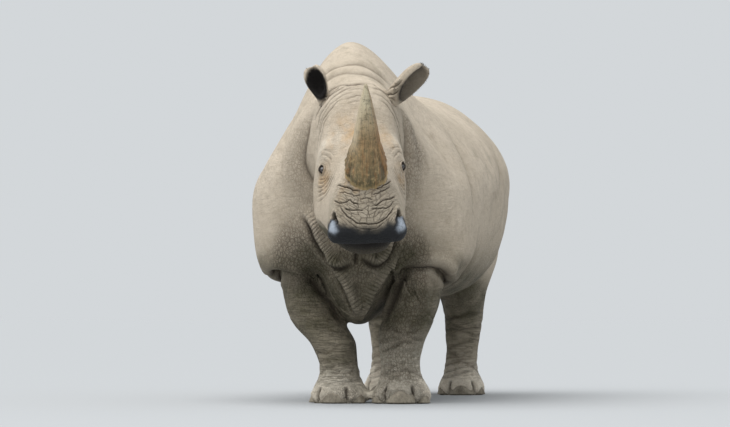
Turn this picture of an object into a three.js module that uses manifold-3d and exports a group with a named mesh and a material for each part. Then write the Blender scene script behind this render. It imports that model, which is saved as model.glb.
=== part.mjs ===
// A standing white rhinoceros, life size, in millimetres: +Z up, nose towards -Y, its left side towards +X.
// The flesh is modelled as smooth lofts through named stations. Trunk, neck and head are one loft that is
// parted by thin cuts. Legs, ears, horns, nails and tail are cut back from the body with a thin gap.
import * as THREE from "three";
import { mergeVertices } from "three/addons/utils/BufferGeometryUtils.js";
import Module from "manifold-3d";

const wasm = await Module();
wasm.setup();

// Driving dimensions
const humpTop = 1766; // the highest point of the back, over the front legs
const backTop = 1572; // the back behind the hump
const bellyBottom = 490;
const bellyHalfWidth = 572;
const headPitch = THREE.MathUtils.degToRad(52.5); // the face slopes this far below the horizontal
const headTurn = THREE.MathUtils.degToRad(12.5); // neck and head swing to the animal's left
const headTilt = THREE.MathUtils.degToRad(2.5); // and tip, the left eye up
const tiltHeight = 1100;
const turnStart = -500; // the neck starts to swing here
const turnLength = 380;
const nape = { y: -1140, z: 1492 }; // where the axis of the head starts
const gap = 0.35; // between neighbouring solids
const soleClearance = 4; // the nails end this far above the floor
const eyeRadius = 21;

const hide = { color: 0x9c8f7e, roughness: 0.9, metalness: 0 };
const hornKeratin = { color: 0x85754f, roughness: 0.8, metalness: 0 };
const nailKeratin = { color: 0x77695a, roughness: 0.75, metalness: 0 };
const bristles = { color: 0x2c2723, roughness: 0.9, metalness: 0 };
const eyeGloss = { color: 0x17100c, roughness: 0.12, metalness: 0 };

// ---- Lofts -----------------------------------------------------------------------------------------------

// A closed skin over rings of equal size, with a fan of triangles over each end.
function skinOver(rings) {
  const around = rings[0].length;
  const points = rings.flat();
  const middle = (ring) => ring.reduce((sum, p) => sum.add(p), new THREE.Vector3()).divideScalar(around);
  points.push(middle(rings[0]), middle(rings.at(-1)));
  const [startTip, endTip] = [points.length - 2, points.length - 1];
  const lastRow = (rings.length - 1) * around;
  const faces = [];
  for (let i = 0; i < around; i++) {
    const next = (i + 1) % around;
    for (let row = 0; row < lastRow; row += around) {
      faces.push(row + i, row + around + i, row + next, row + next, row + around + i, row + around + next);
    }
    faces.push(startTip, i, next, endTip, lastRow + next, lastRow + i);
  }
  return new THREE.BufferGeometry().setFromPoints(points).setIndex(faces);
}

// Smooth values between the stations, a few steps to each span. Every station holds the same keys.
function between(stations, steps) {
  const keys = Object.keys(stations[0]).filter((key) => typeof stations[0][key] === "number");
  const values = stations.flatMap((station) => keys.map((key) => station[key]));
  const curve = new THREE.CubicInterpolant(stations.map((_, i) => i), values, keys.length);
  const count = (stations.length - 1) * steps;
  return Array.from({ length: count + 1 }, (_, i) => {
    const found = curve.evaluate(i / steps);
    return Object.fromEntries(keys.map((key, k) => [key, found[k]]));
  });
}

// One point of a superellipse: a power of 2 is round, under 2 comes to a ridge, and over 2 is boxy.
function superPoint(angle, power) {
  const [s, c] = [Math.sin(angle), Math.cos(angle)];
  return [Math.sign(s) * Math.abs(s) ** (2 / power), Math.sign(c) * Math.abs(c) ** (2 / power)];
}

// A ring of the body, in the plane through its top and bottom points, widest at the height `wide`.
function bodyRing(station, around, grow = 0) {
  const top = new THREE.Vector3(station.topX, station.topY, station.topZ);
  const bottom = new THREE.Vector3(station.lowX, station.lowY, station.lowZ);
  const down = bottom.clone().sub(top).normalize();
  top.addScaledVector(down, -grow);
  bottom.addScaledVector(down, grow);
  const heart = top.clone().lerp(bottom, station.wide);
  return Array.from({ length: around }, (_, i) => {
    const angle = (i / around) * 2 * Math.PI;
    const upper = Math.cos(angle) >= 0;
    const [side, rise] = superPoint(angle, upper ? station.ridge : station.keel);
    const reach = upper ? top.distanceTo(heart) : bottom.distanceTo(heart);
    const point = heart.clone().addScaledVector(down, -rise * reach);
    point.x += side * (station.half + grow);
    return point;
  });
}

// A ring of a leg or other upright limb, flat at its height.
function limbRing(station, around, grow = 0) {
  return Array.from({ length: around }, (_, i) => {
    const [side, back] = superPoint((i / around) * 2 * Math.PI, station.power);
    return new THREE.Vector3(
      station.x + side * (station.halfX + grow),
      station.y - back * (station.halfY + grow),
      station.z,
    );
  });
}

// Swings what lies ahead of the shoulders to the animal's left, as the neck does.
function swing(point) {
  const ahead = turnStart - point.y;
  if (ahead <= 0) return point;
  const radius = turnLength / headTurn;
  const bent = Math.min(ahead, turnLength) / radius;
  const beyond = Math.max(ahead - turnLength, 0);
  const tilt = headTilt * THREE.MathUtils.smoothstep(ahead, 200, 600);
  const side = point.x * Math.cos(tilt) - (point.z - tiltHeight) * Math.sin(tilt);
  point.z = tiltHeight + point.x * Math.sin(tilt) + (point.z - tiltHeight) * Math.cos(tilt);
  point.x = radius * (1 - Math.cos(bent)) + beyond * Math.sin(bent) + side * Math.cos(bent);
  point.y = turnStart - radius * Math.sin(bent) - beyond * Math.cos(bent) + side * Math.sin(bent);
  return point;
}

// A point of the head from its own place: across, along the face from the nape, and out of the face.
function headPoint(across, along, out) {
  return new THREE.Vector3(
    across,
    nape.y - along * Math.cos(headPitch) - out * Math.sin(headPitch),
    nape.z - along * Math.sin(headPitch) + out * Math.cos(headPitch),
  );
}

// Moves points near `at` by `by`, fading out with distance.
function push(points, at, by, radius) {
  for (const point of points) {
    const share = Math.exp(-point.distanceToSquared(at) / (radius * radius));
    if (share > 0.01) point.addScaledVector(by, share);
  }
}

// ---- Solids ----------------------------------------------------------------------------------------------

function solidFrom(geometry) {
  const bare = geometry.clone();
  bare.deleteAttribute("normal");
  bare.deleteAttribute("uv");
  const merged = mergeVertices(bare, 1e-3);
  const numbers = { numProp: 3, vertProperties: merged.attributes.position.array };
  return new wasm.Manifold(new wasm.Mesh({ ...numbers, triVerts: new Uint32Array(merged.index.array) }));
}

function largest(solid) {
  return solid.decompose().reduce((best, piece) => (piece.volume() > best.volume() ? piece : best));
}

const animal = new THREE.Group();

function addPart(name, solid, look) {
  const { vertProperties, triVerts } = largest(solid).getMesh();
  const geometry = new THREE.BufferGeometry();
  geometry.setAttribute("position", new THREE.BufferAttribute(vertProperties, 3));
  geometry.setIndex(new THREE.BufferAttribute(triVerts, 1));
  const mesh = new THREE.Mesh(geometry, new THREE.MeshStandardMaterial(look));
  mesh.name = name;
  animal.add(mesh);
}

// ---- Trunk, neck and head --------------------------------------------------------------------------------

const bodyAround = 28;

// A station of the body: its top and bottom points, its half width, how far down it is widest, and how
// round it is above and below that.
function station([topX, topY, topZ], [lowX, lowY, lowZ], half, wide, ridge, keel) {
  return { topX, topY, topZ, lowX, lowY, lowZ, half, wide, ridge, keel };
}

// A station of the head: how far along and out its top and its underside lie.
function headStation(topAlong, topOut, lowAlong, lowOut, half, wide, ridge, keel) {
  const [top, low] = [headPoint(0, topAlong, topOut), headPoint(0, lowAlong, lowOut)];
  return station(top.toArray(), low.toArray(), half, wide, ridge, keel);
}

const trunkStations = [
  station([0, 1338, 1120], [0, 1338, 930], 110, 0.5, 2, 2), // rump end
  station([0, 1290, 1300], [0, 1290, 770], 290, 0.45, 2, 2.2), // buttocks
  station([0, 1200, 1440], [0, 1200, 680], 390, 0.48, 1.9, 2.4), // tail root
  station([0, 1020, 1545], [0, 1020, 615], 455, 0.48, 1.8, 2.6), // croup
  station([0, 800, backTop + 14], [0, 800, 570], 510, 0.47, 1.8, 2.7), // hips
  station([0, 480, backTop], [0, 480, 520], 558, 0.47, 1.8, 2.8), // loin
  station([0, 120, backTop - 28], [0, 120, bellyBottom], bellyHalfWidth, 0.47, 1.78, 2.85), // ribs
  station([-15, -200, backTop - 12], [0, -200, 505], 560, 0.5, 1.66, 3), // saddle
  station([-40, -420, 1652], [4, -420, 575], 545, 0.58, 1.46, 4), // withers
  station([-58, -610, humpTop], [4, -600, 632], 536, 0.68, 1.34, 8), // hump
  station([-52, -780, 1716], [4, -795, 640], 508, 0.69, 1.38, 7), // front of the shoulder
];

const neckStations = [
  station([-36, -915, 1640], [0, -910, 680], 424, 0.66, 1.5, 3.4), // neck root
  station([-20, -1025, 1588], [0, -975, 755], 326, 0.6, 1.7, 2.4), // neck
  station([0, -1115, 1550], [0, -1015, 850], 256, 0.55, 2, 2.2), // nape and throat
];

const headStations = [
  headStation(40, 72, 352, -430, 197, 0.5, 2.4, 2.3), // crown and angle of the jaw
  headStation(140, 78, 430, -418, 188, 0.48, 2.7, 2.4), // forehead
  headStation(290, 52, 500, -392, 196, 0.54, 2.5, 2.5), // hollow of the brow
  headStation(400, 66, 560, -356, 200, 0.6, 2.05, 2.6), // eyes
  headStation(490, 92, 620, -310, 198, 0.68, 1.95, 2.6), // rear horn
  headStation(590, 122, 690, -258, 189, 0.74, 2, 2.8), // front horn
  headStation(690, 140, 760, -190, 178, 0.74, 2.2, 3), // tip of the nose bone
  headStation(770, 120, 815, -135, 172, 0.74, 2.35, 3.2), // nostrils
  headStation(830, 90, 862, -92, 171, 0.7, 2.4, 3.4), // upper lip
  headStation(872, 55, 890, -55, 163, 0.68, 2.4, 3.2), // front of the lip
  headStation(893, 18, 897, -28, 125, 0.6, 2.2, 2.4), // tip of the muzzle
];

const jawStations = [
  headStation(330, -150, 372, -436, 186, 0.5, 2.4, 2.4), // angle of the jaw
  headStation(480, -150, 500, -412, 188, 0.5, 2.4, 2.5),
  headStation(620, -130, 640, -352, 172, 0.5, 2.4, 2.5), // corner of the mouth
  headStation(740, -90, 745, -290, 142, 0.5, 2.4, 2.4),
  headStation(815, -60, 812, -238, 118, 0.5, 2.4, 2.2), // chin
  headStation(858, -60, 850, -170, 82, 0.5, 2.2, 2.2), // lower lip
  headStation(872, -80, 868, -130, 44, 0.5, 2, 2),
];

const brisketStations = [
  station([0, -230, 800], [0, -230, 500], 260, 0.35, 2, 2),
  station([0, -450, 800], [0, -450, 415], 215, 0.35, 1.9, 1.7),
  station([0, -650, 800], [-10, -650, 372], 190, 0.35, 1.8, 1.5), // between the front legs
  station([0, -860, 840], [-38, -860, 392], 200, 0.3, 1.7, 1.35),
  station([0, -960, 840], [-42, -985, 450], 165, 0.2, 1.6, 1.25),
  station([0, -1030, 820], [-30, -1040, 600], 80, 0.4, 1.6, 1.2), // front of the dewlap
];

// Swellings and hollows of the trunk, alike on both sides: place, how far it moves, and how wide.
const trunkShape = [
  { place: [330, -690, 1400], by: [-52, 0, -10], radius: 190 }, // hollow above the shoulder blade
  { place: [460, -650, 1260], by: [-38, 0, 0], radius: 150 }, // before the shoulder blade
  { place: [520, -480, 1050], by: [10, 0, 0], radius: 220 }, // shoulder blade
  { place: [560, 700, 760], by: [-34, 0, 10], radius: 190 }, // hollow of the flank
  { place: [440, 1000, 1180], by: [26, 10, 0], radius: 230 }, // thigh and hip bone
];

// Swellings and hollows of the head: across, along, out, how far across and out, and how wide.
const headShape = [
  { place: [166, 400, -58], across: 18, out: 10, radius: 58 }, // brow and lids over the eye
  { place: [195, 240, -60], across: -8, out: 0, radius: 80 }, // hollow of the temple
  { place: [185, 430, -270], across: 10, out: 0, radius: 110 }, // cheek muscle
  { place: [190, 210, -210], across: 30, out: 0, radius: 150, sides: [-1] }, // the right cheek bulges as the neck turns
  { place: [188, 430, -215], across: 24, out: 0, radius: 125, sides: [-1] },
  { place: [172, 545, -70], across: -10, out: 0, radius: 62 }, // hollow before the eye
  { place: [160, 770, -30], across: 12, out: 6, radius: 55 }, // wing of the nostril
  { place: [0, 610, 125], across: 0, out: 14, radius: 100, sides: [1] }, // boss under the front horn
  { place: [178, 600, -265], across: 36, out: 0, radius: 135, sides: [-1] }, // the right cheek hangs fuller
  { place: [178, 640, -230], across: -9, out: 0, radius: 135, sides: [1] },
];

function shapeHead(points) {
  for (const { place, across, out, radius, sides = [1, -1] } of headShape) {
    const outward = headPoint(0, 0, out).sub(headPoint(0, 0, 0));
    for (const side of sides) {
      const at = headPoint(side * place[0], place[1], place[2]);
      push(points, at, outward.clone().setX(side * across), radius);
    }
  }
}

function shapeTrunk(points) {
  for (const { place, by, radius } of trunkShape) {
    for (const side of [1, -1]) {
      const [at, move] = [place, by].map(([x, y, z]) => new THREE.Vector3(side * x, y, z));
      push(points, at, move, radius);
    }
  }
}

function bodyLoft(stations, steps, around, grow) {
  const rings = between(stations, steps).map((s) => bodyRing(s, around, grow));
  shapeTrunk(rings.flat());
  shapeHead(rings.flat());
  rings.flat().forEach(swing);
  return solidFrom(skinOver(rings));
}

function wholeBody(grow = 0) {
  return bodyLoft([...trunkStations, ...neckStations, ...headStations], 2, bodyAround, grow)
    .add(bodyLoft(jawStations, 1, 16, grow))
    .add(bodyLoft(brisketStations, 2, 16, grow));
}

const body = wholeBody();
const bodyWithGap = wholeBody(gap);

// Parts the body at a ring: what is ahead of the cut and what is behind it, half the gap from it each.
function partAt(solid, cutStation) {
  const corners = [0, 0.25, 0.5].map((share) => bodyRing(cutStation, 4)[share * 4]).map(swing);
  const plane = new THREE.Plane().setFromCoplanarPoints(...corners);
  if (plane.normal.y > 0) plane.negate();
  const ahead = plane.normal.toArray();
  const behind = ahead.map((n) => -n);
  return [
    solid.trimByPlane(ahead, -plane.constant + gap / 2),
    solid.trimByPlane(behind, plane.constant + gap / 2),
  ];
}

const [foreBody, trunk] = partAt(body, neckStations[0]);
const [head, neck] = partAt(foreBody, neckStations[2]);
addPart("trunk", trunk, hide);
addPart("neck", neck, hide);
addPart("head", head, hide);

// ---- Legs and feet ---------------------------------------------------------------------------------------

const ankle = 96; // the foot is cut from the leg here
const legAround = 16;

// Height, half width, half depth, how far the middle lies behind the foot, and how boxy.
const frontLegShape = [
  [860, 150, 190, 190, 2],
  [740, 150, 215, 175, 2],
  [650, 138, 212, 140, 2.1],
  [550, 122, 186, 92, 2.1],
  [440, 121, 158, 62, 2.1],
  [365, 127, 142, 42, 2.1],
  [300, 111, 129, 24, 2.2],
  [212, 91, 110, 18, 2.2],
  [150, 90, 108, 12, 2.2],
  [ankle, 112, 124, 4, 2.2],
  [55, 140, 148, 0, 2.3],
  [22, 141, 149, 0, 2.3],
  [0, 126, 134, 0, 2.3],
];

const hindLegShape = [
  [1080, 150, 260, 160, 2],
  [900, 190, 345, 70, 2.2],
  [760, 180, 318, 45, 2.2],
  [650, 158, 268, 40, 2.1],
  [560, 128, 212, 66, 2],
  [470, 108, 168, 100, 2],
  [400, 102, 142, 106, 2],
  [330, 94, 118, 84, 2.1],
  [240, 85, 100, 50, 2.1],
  [150, 86, 96, 20, 2.1],
  [ankle, 98, 112, 6, 2.2],
  [52, 122, 134, 0, 2.3],
  [20, 123, 135, 0, 2.3],
  [0, 109, 120, 0, 2.3],
];

// Where each leg stands and how far to the side its middle lies, from the top down to the foot.
const legs = [
  { name: "front_left", shape: frontLegShape, footY: -760,
    side: [270, 300, 305, 290, 266, 232, 218, 212, 214, 222], toeOut: 9 },
  { name: "front_right", shape: frontLegShape, footY: -745,
    side: [-275, -305, -300, -280, -244, -184, -124, -98, -88, -86, -80], toeOut: -7 },
  { name: "hind_left", shape: hindLegShape, footY: 880,
    side: [230, 250, 252, 246, 240, 240, 242, 242, 242, 242, 246], toeOut: 10 },
  { name: "hind_right", shape: hindLegShape, footY: 900,
    side: [-260, -280, -272, -250, -220, -196, -184, -174, -166, -162, -162], toeOut: -10 },
];

function legStations({ shape, footY, side }) {
  return shape.map(([z, halfX, halfY, behind, power], i) => ({
    z, halfX, halfY, power, x: side[Math.min(i, side.length - 1)], y: footY + behind,
  }));
}

function legLoft(leg, grow = 0) {
  const rings = between(legStations(leg), 1).map((s) => limbRing(s, legAround, grow));
  if (grow) rings.at(-1).forEach((p) => (p.z -= grow));
  return solidFrom(skinOver(rings));
}

// The three nails of a foot: angle from straight ahead towards the other foot, half width, and height.
const nails = [
  { name: "inner", angle: 60, halfWidth: 44, height: 50 },
  { name: "middle", angle: 0, halfWidth: 70, height: 60 },
  { name: "outer", angle: -60, halfWidth: 44, height: 50 },
];

function nailSolid(leg, nail) {
  const foot = legStations(leg).at(-3);
  const outwards = Math.sign(leg.side[0]);
  const turn = THREE.MathUtils.degToRad(leg.toeOut - outwards * nail.angle);
  const place = new THREE.Vector3(
    foot.x + Math.sin(turn) * (foot.halfX - 6),
    foot.y - Math.cos(turn) * (foot.halfY - 6),
    0,
  );
  const shape = new THREE.SphereGeometry(1, 8, 6).scale(nail.halfWidth, 22, nail.height);
  shape.rotateX(-0.35).rotateZ(turn).translate(place.x, place.y, nail.height * 0.12);
  return solidFrom(shape).trimByPlane([0, 0, 1], soleClearance);
}

for (const leg of legs) {
  const wholeLeg = legLoft(leg).subtract(bodyWithGap);
  addPart(`leg_${leg.name}`, wholeLeg.trimByPlane([0, 0, 1], ankle + gap / 2), hide);
  addPart(`foot_${leg.name}`, wholeLeg.trimByPlane([0, 0, -1], gap / 2 - ankle), hide);
  const legWithGap = legLoft(leg, gap);
  for (const nail of nails) {
    addPart(`nail_${leg.name}_${nail.name}`, nailSolid(leg, nail).subtract(legWithGap), nailKeratin);
  }
}

// ---- Head pieces, each built in place and swung round with the head --------------------------------------

// Rings across a curve, each turned to face along it, with the half sizes across and along given by share.
function curveLoft(curve, across, halfSizes, steps, around) {
  const rings = between(halfSizes, steps).map((size, i, all) => {
    const share = i / (all.length - 1);
    const [middle, ahead] = [curve.getPoint(share), curve.getTangent(share)];
    const other = new THREE.Vector3().crossVectors(ahead, across).normalize();
    return Array.from({ length: around }, (_, k) => {
      const [side, out] = superPoint((k / around) * 2 * Math.PI, size.power);
      return middle.clone().addScaledVector(across, side * size.wide).addScaledVector(other, out * size.deep);
    });
  });
  return rings;
}

const straightAcross = new THREE.Vector3(1, 0, 0);

function hornSolid(root, bend, tip, sizes) {
  const curve = new THREE.QuadraticBezierCurve3(headPoint(...root), headPoint(...bend), headPoint(...tip));
  const rings = curveLoft(curve, straightAcross, sizes, 2, 12);
  rings.flat().forEach(swing);
  return solidFrom(skinOver(rings)).subtract(bodyWithGap);
}

const frontHornSizes = [
  { wide: 92, deep: 104, power: 2.2 },
  { wide: 99, deep: 112, power: 2.2 },
  { wide: 80, deep: 88, power: 2.1 },
  { wide: 63, deep: 68, power: 2 },
  { wide: 54, deep: 58, power: 2 },
  { wide: 41, deep: 44, power: 2 },
  { wide: 27, deep: 28, power: 2 },
  { wide: 9, deep: 9, power: 2 },
];
const rearHornSizes = [
  { wide: 56, deep: 60, power: 2 },
  { wide: 50, deep: 54, power: 2 },
  { wide: 36, deep: 42, power: 2 },
  { wide: 9, deep: 10, power: 2 },
];
addPart("horn_front", hornSolid([8, 608, 96], [14, 600, 338], [20, 370, 463], frontHornSizes), hornKeratin);
addPart("horn_rear", hornSolid([0, 436, 50], [0, 440, 140], [0, 404, 198], rearHornSizes), hornKeratin);

for (const [name, side] of [["left", 1], ["right", -1]]) {
  const place = swing(headPoint(side * 184, 433, -64));
  const ball = new THREE.SphereGeometry(eyeRadius, 10, 7).translate(place.x, place.y, place.z);
  addPart(`eye_${name}`, solidFrom(ball).subtract(bodyWithGap), eyeGloss);
}

// An ear in its own frame, from its tip down: it grows along +Z and its opening faces -Y.
const earStations = [
  { z: 206, x: 0, y: 12, halfX: 30, halfY: 9, power: 2.2 },
  { z: 192, x: 0, y: 11, halfX: 50, halfY: 20, power: 2.2 },
  { z: 160, x: 0, y: 9, halfX: 62, halfY: 33, power: 2.1 },
  { z: 115, x: 0, y: 6, halfX: 62, halfY: 43, power: 2 },
  { z: 66, x: 0, y: 2, halfX: 50, halfY: 45, power: 2 },
  { z: 14, x: 0, y: 0, halfX: 37, halfY: 38, power: 2 },
  { z: -50, x: 0, y: 0, halfX: 34, halfY: 36, power: 2 },
];
const earHollow = [
  { z: 222, x: 0, y: -24, halfX: 20, halfY: 44, power: 2 },
  { z: 190, x: 0, y: -26, halfX: 40, halfY: 50, power: 2.1 },
  { z: 158, x: 0, y: -26, halfX: 51, halfY: 59, power: 2 },
  { z: 115, x: 0, y: -26, halfX: 50, halfY: 64, power: 2 },
  { z: 66, x: 0, y: -24, halfX: 34, halfY: 56, power: 2 },
  { z: 30, x: 0, y: -26, halfX: 8, halfY: 14, power: 2 },
];

// The ear's root in the head, which way it points, and which way its opening faces.
const ears = [
  { name: "left", root: [156, 52, -16], along: [0.77, -0.1, 0.64], opening: [0.72, -0.5, -0.5], size: 1.1 },
  { name: "right", root: [-160, 30, -22], along: [-0.36, -0.2, 0.9], opening: [0.05, -0.95, -0.3], size: 0.82 },
];

for (const ear of ears) {
  const outer = skinOver(between(earStations, 2).map((s) => limbRing(s, 12)));
  const hollow = skinOver(between(earHollow, 2).map((s) => limbRing(s, 10)));
  const along = new THREE.Vector3(...ear.along).normalize();
  const back = new THREE.Vector3(...ear.opening).negate().projectOnPlane(along).normalize();
  const root = swing(headPoint(...ear.root));
  const placed = new THREE.Matrix4()
    .makeBasis(new THREE.Vector3().crossVectors(back, along), back, along)
    .setPosition(root)
    .scale(new THREE.Vector3(ear.size, ear.size, ear.size));
  const solid = solidFrom(outer.applyMatrix4(placed)).subtract(solidFrom(hollow.applyMatrix4(placed)));
  addPart(`ear_${ear.name}`, solid.subtract(bodyWithGap), hide);
}

// ---- Tail ------------------------------------------------------------------------------------------------

const tailCurve = new THREE.CatmullRomCurve3([
  new THREE.Vector3(0, 1190, 1345),
  new THREE.Vector3(0, 1300, 1330),
  new THREE.Vector3(4, 1372, 1225),
  new THREE.Vector3(10, 1392, 1050),
  new THREE.Vector3(14, 1384, 880),
  new THREE.Vector3(10, 1372, 730),
]);
const tailSizes = [
  { wide: 52, deep: 44, power: 2 },
  { wide: 46, deep: 38, power: 2 },
  { wide: 33, deep: 27, power: 2 },
  { wide: 24, deep: 20, power: 2 },
  { wide: 17, deep: 15, power: 2 },
  { wide: 13, deep: 11, power: 2 },
];
const tailSolid = solidFrom(skinOver(curveLoft(tailCurve, straightAcross, tailSizes, 2, 12)));
addPart("tail", tailSolid.subtract(bodyWithGap), hide);

// The flat brush of bristles below the end of the tail.
const tuftCurve = new THREE.LineCurve3(new THREE.Vector3(10, 1372, 729), new THREE.Vector3(6, 1364, 560));
const tuftSizes = [
  { wide: 12, deep: 11, power: 2 },
  { wide: 24, deep: 16, power: 2 },
  { wide: 28, deep: 15, power: 2 },
  { wide: 8, deep: 5, power: 2 },
];
const tuftSolid = solidFrom(skinOver(curveLoft(tuftCurve, straightAcross, tuftSizes, 2, 10)));
addPart("tail_tuft", tuftSolid.trimByPlane([0, 0, -1], -728), bristles);

// The origin is on the floor under the middle of the animal's outer box.
const box = new THREE.Box3().setFromObject(animal);
const middle = box.getCenter(new THREE.Vector3());
animal.position.set(-middle.x, -middle.y, -box.min.z);

export default animal;
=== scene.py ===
import math

import bpy
import bmesh
import numpy as np
from mathutils import Matrix, Vector
from mathutils.bvhtree import BVHTree


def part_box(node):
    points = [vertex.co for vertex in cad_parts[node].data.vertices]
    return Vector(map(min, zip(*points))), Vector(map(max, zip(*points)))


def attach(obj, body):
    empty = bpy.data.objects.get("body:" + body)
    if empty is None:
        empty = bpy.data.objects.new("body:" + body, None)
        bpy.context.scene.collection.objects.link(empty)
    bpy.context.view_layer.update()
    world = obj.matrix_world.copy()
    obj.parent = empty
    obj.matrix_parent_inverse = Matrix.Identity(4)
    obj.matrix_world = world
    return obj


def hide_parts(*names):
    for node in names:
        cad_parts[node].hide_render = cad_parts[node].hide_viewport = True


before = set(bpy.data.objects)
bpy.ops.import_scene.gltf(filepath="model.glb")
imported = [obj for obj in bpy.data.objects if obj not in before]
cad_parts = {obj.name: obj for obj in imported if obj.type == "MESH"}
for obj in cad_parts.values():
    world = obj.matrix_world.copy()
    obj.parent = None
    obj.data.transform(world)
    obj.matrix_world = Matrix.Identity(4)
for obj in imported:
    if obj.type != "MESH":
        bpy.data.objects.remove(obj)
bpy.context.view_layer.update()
scene = bpy.context.scene
bpy.ops.object.select_all(action="DESELECT")


# small helpers

def makeActive(piece):
    bpy.ops.object.select_all(action="DESELECT")
    piece.select_set(True)
    bpy.context.view_layer.objects.active = piece


def addModifier(piece, kind, **values):
    modifier = piece.modifiers.new(kind.title(), kind)
    for key, value in values.items():
        setattr(modifier, key, value)
    return modifier


def applyModifier(piece, kind, **values):
    makeActive(piece)
    modifier = addModifier(piece, kind, **values)
    bpy.ops.object.modifier_apply(modifier=modifier.name)


def formFrom(name, nodeNames, grow):  # a merged copy of some solids of the frame, a little swollen
    form = bmesh.new()
    for nodeName in nodeNames:
        part = bmesh.new()
        part.from_mesh(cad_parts[nodeName].data)
        bmesh.ops.remove_doubles(part, verts=part.verts, dist=1e-5)
        part.normal_update()
        for vertex in part.verts:
            vertex.co += vertex.normal * grow
        mesh = bpy.data.meshes.new("part")
        part.to_mesh(mesh)
        form.from_mesh(mesh)
        part.free()
        bpy.data.meshes.remove(mesh)
    mesh = bpy.data.meshes.new(name)
    form.to_mesh(mesh)
    form.free()
    piece = bpy.data.objects.new(name, mesh)
    scene.collection.objects.link(piece)
    return piece


def readPoints(piece):
    points = np.empty(len(piece.data.vertices) * 3)
    piece.data.vertices.foreach_get("co", points)
    return points.reshape(-1, 3)


def writePoints(piece, points):
    piece.data.vertices.foreach_set("co", np.ascontiguousarray(points).ravel())
    piece.data.update()


def readNormals(piece):
    normals = np.empty(len(piece.data.vertices) * 3)
    piece.data.vertices.foreach_get("normal", normals)
    return normals.reshape(-1, 3)


def readEdges(piece):
    edges = np.empty(len(piece.data.edges) * 2, dtype=np.int64)
    piece.data.edges.foreach_get("vertices", edges)
    return edges.reshape(-1, 2)


def evened(piece, values, rounds, share):  # each point's values move towards those of its neighbours
    edges = readEdges(piece)
    ends = np.concatenate([edges[:, 0], edges[:, 1]])
    others = np.concatenate([edges[:, 1], edges[:, 0]])
    degree = np.maximum(np.bincount(ends, minlength=len(values)), 1)
    values = values.copy()
    for _ in range(rounds):
        for column in values.T:
            column += (np.bincount(ends, column[others], minlength=len(values)) / degree - column) * share
    return values


def relax(piece, rounds, share):  # smooths a shape, then puts back the broad part of what it lost
    points = readPoints(piece)
    smooth = evened(piece, points, rounds, share)
    writePoints(piece, smooth + evened(piece, points - smooth, rounds, share))


def smoothStep(values, low, high):
    share = np.clip((values - low) / (high - low), 0, 1)
    return share * share * (3 - 2 * share)


def bell(*terms):  # 1 in the middle and soft at the edges; each term is values, their middle and width
    return np.exp(-sum(((values - middle) / width)**2 for values, middle, width in terms))


def faceOutwards(piece):
    makeActive(piece)
    bpy.ops.object.mode_set(mode="EDIT")
    bpy.ops.mesh.select_all(action="SELECT")
    bpy.ops.mesh.normals_make_consistent(inside=False)
    bpy.ops.object.mode_set(mode="OBJECT")


def fading(values, low, high):
    return 1 - smoothStep(values, low, high)


def boxMiddle(node):
    return sum(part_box(node), Vector()) / 2


def storeValues(piece, name, values):
    layer = piece.data.attributes.get(name) or piece.data.attributes.new(name, "FLOAT", "POINT")
    layer.data.foreach_set("value", np.ascontiguousarray(values, dtype=np.float32))


# camera

cameraView = {
    "turn": 11.0,  # degrees round from straight ahead, towards the animal's left
    "distance": 15.8,
    "height": 0.45,
    "tiltUp": 1.70,
    "aside": 0.04,
    "lens": 160.5,
}


def placeCamera(values):
    turn = math.radians(values["turn"])
    away = Vector((math.sin(turn), -math.cos(turn), 0))
    right = Vector((math.cos(turn), math.sin(turn), 0))
    feet = (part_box("foot_front_left")[0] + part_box("foot_front_right")[1]) / 2
    spot = Vector((0, feet.y, 0)) + right * values["aside"] + away * values["distance"]
    spot.z = values["height"]
    bpy.ops.object.camera_add(location=spot)
    camera = bpy.context.object
    camera.name = "camera"
    camera.rotation_euler = (math.radians(90 + values["tiltUp"]), 0, turn)
    camera.data.lens = values["lens"]
    camera.data.clip_end = 300
    scene.camera = camera


placeCamera(cameraView)
print("camera placed")


# studio

studioLight = {
    "backgroundColor": (0.93, 0.97, 1.0),
    "backgroundStrength": 0.70,
    "topLight": 0.88,  # how much the soft light from above adds on a level surface
    "topSpread": 75,  # degrees
    "topTilt": (16, -14),
    "frontPower": 60,
    "frontSize": 5.0,
    "frontPlace": (-4.0, -9.0, 5.0),
    "frontTurn": (58, 0, -24),
    "floorSize": 260,
}


def addStudio(values):
    world = bpy.data.worlds.new("studio")
    world.use_nodes = True
    background = world.node_tree.nodes["Background"]
    background.inputs["Color"].default_value = (*values["backgroundColor"], 1)
    background.inputs["Strength"].default_value = values["backgroundStrength"]
    scene.world = world

    tiltX, tiltY = (math.radians(tilt) for tilt in values["topTilt"])
    bpy.ops.object.light_add(type="SUN", location=(0, 0, 6), rotation=(tiltX, tiltY, 0))
    top = bpy.context.object
    top.name = "topLight"
    top.data.energy = values["topLight"] * math.pi / (math.cos(tiltX) * math.cos(tiltY))
    top.data.angle = math.radians(values["topSpread"])

    bpy.ops.mesh.primitive_plane_add(size=values["floorSize"], location=(0, 0, 0))
    floor = bpy.context.object
    floor.name = "floor"
    material = bpy.data.materials.new("floor")
    material.use_nodes = True
    shader = material.node_tree.nodes["Principled BSDF"]
    glow = [channel * values["backgroundStrength"] for channel in values["backgroundColor"]]
    floorColor = [part / (part + values["topLight"]) for part in glow]  # lit, it meets the background unseen
    shader.inputs["Base Color"].default_value = (*floorColor, 1)
    shader.inputs["Roughness"].default_value = 1.0
    shader.inputs["Specular IOR Level"].default_value = 0.0
    floor.data.materials.append(material)

    bpy.ops.object.light_add(type="AREA", location=values["frontPlace"],
                              rotation=[math.radians(turn) for turn in values["frontTurn"]])
    front = bpy.context.object
    front.name = "front"
    front.data.size = values["frontSize"]
    front.data.energy = values["frontPower"]


addStudio(studioLight)
scene.view_settings.view_transform = "Standard"
print("studio lit")


# the head's own axes: across, down the face from the crown, and out of the face

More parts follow.
